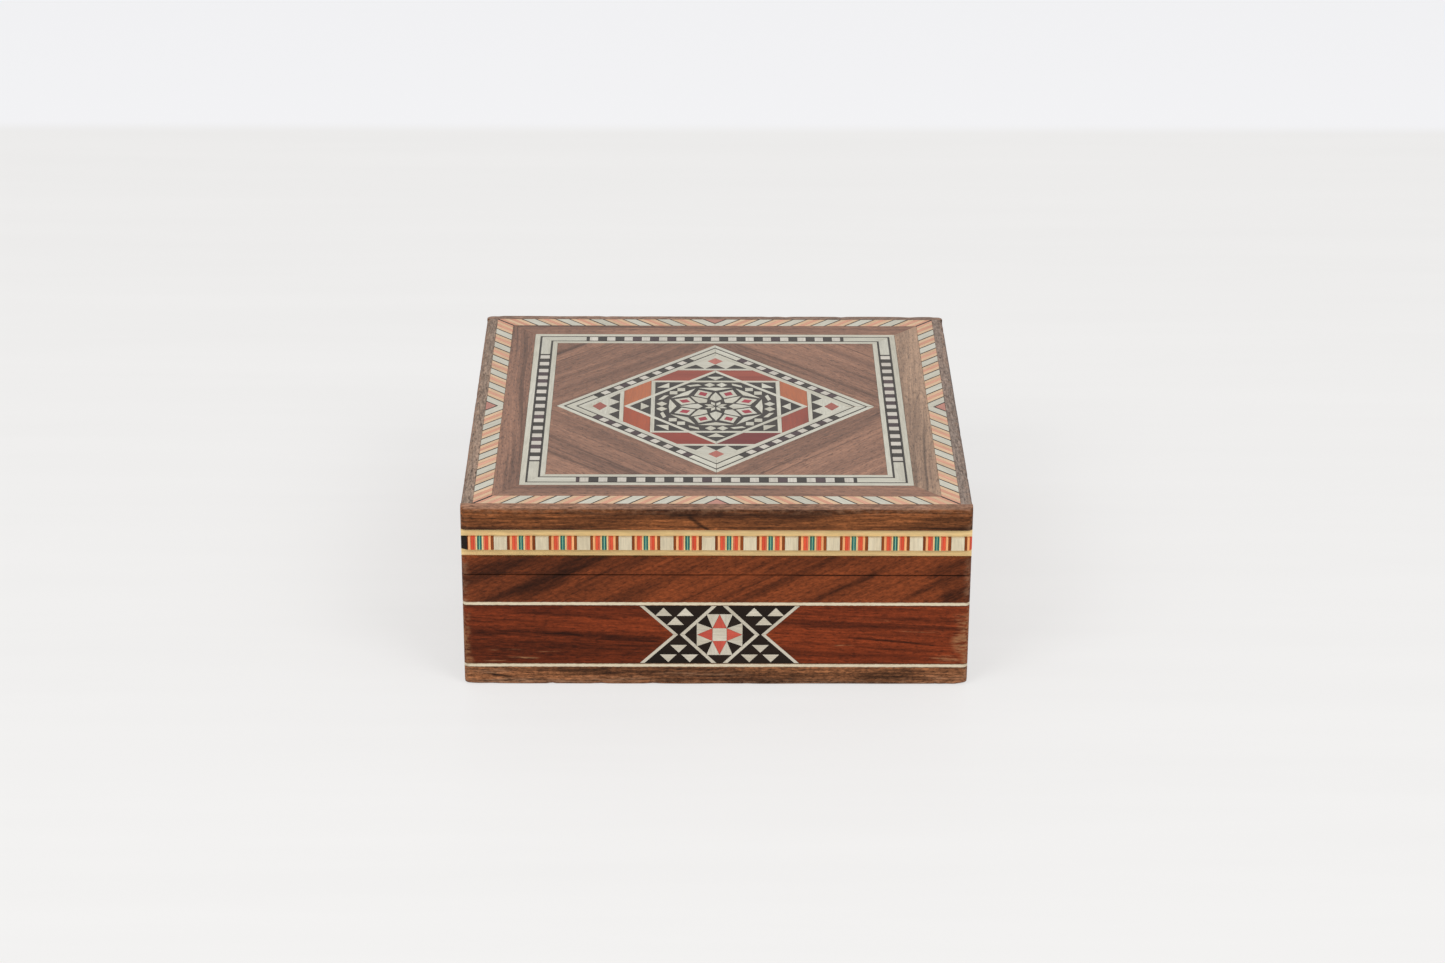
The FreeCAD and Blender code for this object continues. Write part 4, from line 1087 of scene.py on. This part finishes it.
RAIL_SLOPE = 27
PANEL_SLOPE = -2.5
UNTURNED = (0, 0, 0)
WALNUT_MARKS = (
    (-36.9, 28.1, 27, 14, 2, 0.7), (-42.3, 24.6, 27, 5, 2, 0.5), (-28, 33.2, 10, 5, 1.2, 0.6),
    (-50, 29.6, 2, 12, 0.8, 0.55), (31.2, 27.1, 27, 11, 0.9, 0.5), (24, 33, 15, 6, 1, 0.4),
    (50.5, 26.6, 27, 9, 1, 0.7), (56, 31.5, 20, 8, 2.4, 0.7), (57, 24, 20, 6, 2.8, 0.8),
    (57.5, 29, 20, 7, 6.5, 0.5), (-44, 32.2, 4, 22, 2.6, 0.4), (22, 32.4, 2, 32, 2.6, 0.25))
PANEL_MARKS = (
    (-50, 14, -1.5, 10, 1.5, 0.85), (-36, 13.4, -2.6, 13, 1.6, 0.9), (-21, 12.5, -2.6, 12, 1.4, 0.9),
    (-46, 15.2, -4, 13, 0.8, 0.5), (-50, 7.1, -1.5, 11, 0.6, 0.8), (-37, 10, -1, 8, 1, 0.85),
    (-22, 7.2, -2, 8, 0.5, 0.6), (-36, 18.4, -3, 18, 0.7, 0.5), (-38, 9.2, -2, 36, 6, 0.62),
    (-36, 13.3, -2.4, 30, 2.4, 0.62), (-47, 17.5, -3, 16, 2, 0.35), (42, 11.6, -5, 15, 0.35, 0.85),
    (46, 9.4, -4, 12, 0.4, 0.6), (32, 15.5, -3, 12, 0.5, 0.35), (52, 17.5, -3, 9, 1.2, 0.3))
PANEL_FLECKS = (
    (-46.5, 7.3, -2, 4.5, 0.3, 0.7), (-53, 6.5, 0, 3, 0.3, 0.6), (-40, 8.8, -1.5, 4, 0.2, 0.3),
    (-50, 9.6, 0, 4, 0.3, 0.35), (-59.4, 10, 0, 1.8, 7, 0.5), (59.6, 12, 0, 3.2, 8, 0.65),
    (54.5, 7, 0, 3.5, 1, 0.5), (38, 17.4, 0, 4, 0.3, 0.4), (30, 10.6, 0, 3, 0.25, 0.5),
    (49, 14.2, -2, 6, 0.4, 0.4))
WOOD_STARTS = {"front": (30, 7, 4), "right": (210, 45, 9), "back": (420, 80, 31), "left": (640, 120, 57)}


def white_line(node):
    """Holly lines with polish and dirt gathered along their upper and lower edges."""
    low, high = (corner.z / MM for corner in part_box(node))
    shader = Shader(node)
    place = shader.millimetres()
    fibres = shader.noise(place, 0.3, 3.0, 3, 0.6)
    shade = shader.blend(shader.step(fibres, 0.3, 0.7), colour(218, 207, 182), colour(202, 188, 160))
    off = shader.distance(shader.axes(place)["Z"], (low + high) / 2)
    waver = shader.step(shader.noise(place, 0.9, 0.9, 3), 0.3, 0.7, -0.06, 0.06)
    ragged = shader.maths("ADD", off, waver)
    dirt = shader.step(ragged, (high - low) * 0.3, (high - low) * 0.46, 0.0, 0.8)
    shade = shader.blend(dirt, shade, colour(112, 72, 48))
    shade = shader.tinted(shade, shader.edge_wear(), 0.5, colour(120, 88, 66))
    return shader.finished(fibres, GRAIN_DENT, Base_Color=shade, Specular_IOR_Level=0.1,
                           Roughness=shader.step(fibres, 0.2, 0.8, 0.4, 0.55))


def dress_frame():
    """Gives every CAD node that stays in view the material of its slot."""
    grained = {"walnut": {}, "red_wood": {}, "carcass_wood": {}}
    for side in SIDES:
        turn = 0 if side in ("front", "back") else -90
        start = WOOD_STARTS[side]
        grained["walnut"][side] = wood(
            f"walnut_figured_{side}", (127, 62, 31), (50, 24, 12), "side", ((0, RAIL_SLOPE, turn), start),
            figure=0.75, streak=0.45, growth=0.1, fibre=0.16, speckle=0.34, pore=0.4, wear=0.4,
            marks=front_only(side, WALNUT_MARKS), seam=FACES["front"].span("front_rail")[1][1])
        grained["red_wood"][side] = wood(
            f"red_wood_{side}", (127, 54, 25), (70, 26, 11), "side", ((0, PANEL_SLOPE, turn), start),
            figure=0.75, streak=0.5, growth=0.2, fibre=0.28, speckle=0.24, pore=0.45, wear=0.6,
            wear_colour=(164, 122, 84), marks=front_only(side, PANEL_MARKS),
            flecks=front_only(side, PANEL_FLECKS))
        grained["carcass_wood"][side] = wood(
            f"carcass_wood_{side}", (206, 168, 122), (176, 132, 88), "inside", ((0, 0, turn), start),
            figure=0.8, streak=0.2, growth=0.15, fibre=0.2, pore=0.3)
    white = {name: white_line(name) for name in ("lower_white_lines", "upper_white_lines")}
    fixed = {
        "dowel": wood("dowel", (202, 162, 112), (170, 126, 82), "inside", (UNTURNED, UNTURNED), fibre=0.25),
        "brass": metal("brass", (205, 168, 96), (150, 112, 62), 0.28),
        "steel": metal("steel", (176, 176, 178), (120, 120, 124), 0.3),
    }
    for name, node in frame["nodes"].items():
        if node.hide_render:
            continue
        slot = SLOT_OF[name]
        sides = [side for side in SIDES if side in name] or ["front"]
        material = white.get(name) or fixed.get(slot) or grained[slot][sides[0]]
        node.data.materials.clear()
        node.data.materials.append(material)


# The studio

FAR_EDGE = 345.0
EVEN_SHARE = 0.68
TABLE_HALF = 3.0
SKY_STRENGTH = 0.65
SOFTBOXES = {"left_softbox": (-0.7, -0.8, 0.95), "right_softbox": (0.7, -0.8, 0.95)}
SOFTBOX_SIZE = 0.6
SOFTBOX_POWER = 6.0


def table_top():
    """A pale painted table with faint brush marks; behind its far edge the wall's tone begins."""
    shader = Shader("table")
    place = shader.millimetres()
    marks = shader.noise(place, 0.004, 0.05, 4, 0.6)
    paint = shader.blend(marks, colour(238, 237, 236), colour(243, 242, 241))
    beyond = shader.step(shader.axes(place)["Y"], FAR_EDGE - 6, FAR_EDGE + 8)
    shade = shader.blend(beyond, paint, colour(247, 247, 249))
    shader.set(Base_Color=shade, Roughness=shader.step(marks, 0.2, 0.8, 0.38, 0.5), Specular_IOR_Level=0.3)
    rays = shader.tree.nodes.new("ShaderNodeLightPath").outputs
    seen = shader.maths("ADD", rays["Is Camera Ray"], rays["Is Glossy Ray"])
    seen = shader.maths("MINIMUM", shader.maths("ADD", seen, rays["Is Transmission Ray"]), 1.0)
    even = shader.node("Emission", {"Color": shade, "Strength": 1.0})
    share = shader.times(seen, EVEN_SHARE)
    mixed = shader.node("MixShader", {0: share, 1: shader.surface.outputs[0], 2: even})
    shader.tree.links.new(mixed, shader.tree.nodes["Material Output"].inputs["Surface"])
    corners = rectangle(-TABLE_HALF, TABLE_HALF, -TABLE_HALF, TABLE_HALF)
    mesh = bpy.data.meshes.new("table")
    mesh.from_pydata([(*corner, 0) for corner in corners], [], [(0, 1, 2, 3)])
    mesh.materials.append(shader.material)
    table = linked("table", mesh)


def softbox(name, place):
    """A square lamp aimed at the middle of the box's underside."""
    data = bpy.data.lights.new(name, "AREA")
    data.shape = "SQUARE"
    data.size = SOFTBOX_SIZE
    data.energy = SOFTBOX_POWER
    lamp = linked(name, data)
    lamp.location = place
    lamp.rotation_mode = "QUATERNION"
    lamp.rotation_quaternion = (-Vector(place)).to_track_quat("-Z", "Y")


def studio():
    scene = bpy.context.scene
    scene.view_settings.view_transform = "Standard"
    world = bpy.data.worlds.new("studio")
    world.use_nodes = True
    sky = world.node_tree.nodes["Background"]
    sky.inputs["Color"].default_value = (1.0, 1.0, 1.0, 1.0)
    sky.inputs["Strength"].default_value = SKY_STRENGTH
    scene.world = world
    for name, place in SOFTBOXES.items():
        softbox(name, place)
    table_top()


def camera():
    data = bpy.data.cameras.new("camera")
    data.lens = CAMERA_LENS
    data.sensor_width = SENSOR_WIDTH
    view = Matrix.Translation(Vector(CAMERA_PLACE) * MM)
    for angle, axis in ((-CAMERA_YAW, "Z"), (90 - CAMERA_PITCH, "X"), (CAMERA_ROLL, "Z")):
        view @= Matrix.Rotation(math.radians(angle), 4, axis)
    made = linked("camera", data)
    made.matrix_world = view
    bpy.context.scene.camera = made


camera()
studio()
lid_top()
side_motifs()
for number, side in enumerate(SIDES):
    mosaic_band(side, number)
worn_strips()
red_felt = felt()
lining("floor_lining", "box", red_felt, 1)
lining("lid_lining", "lid", red_felt, -1)
dress_frame()
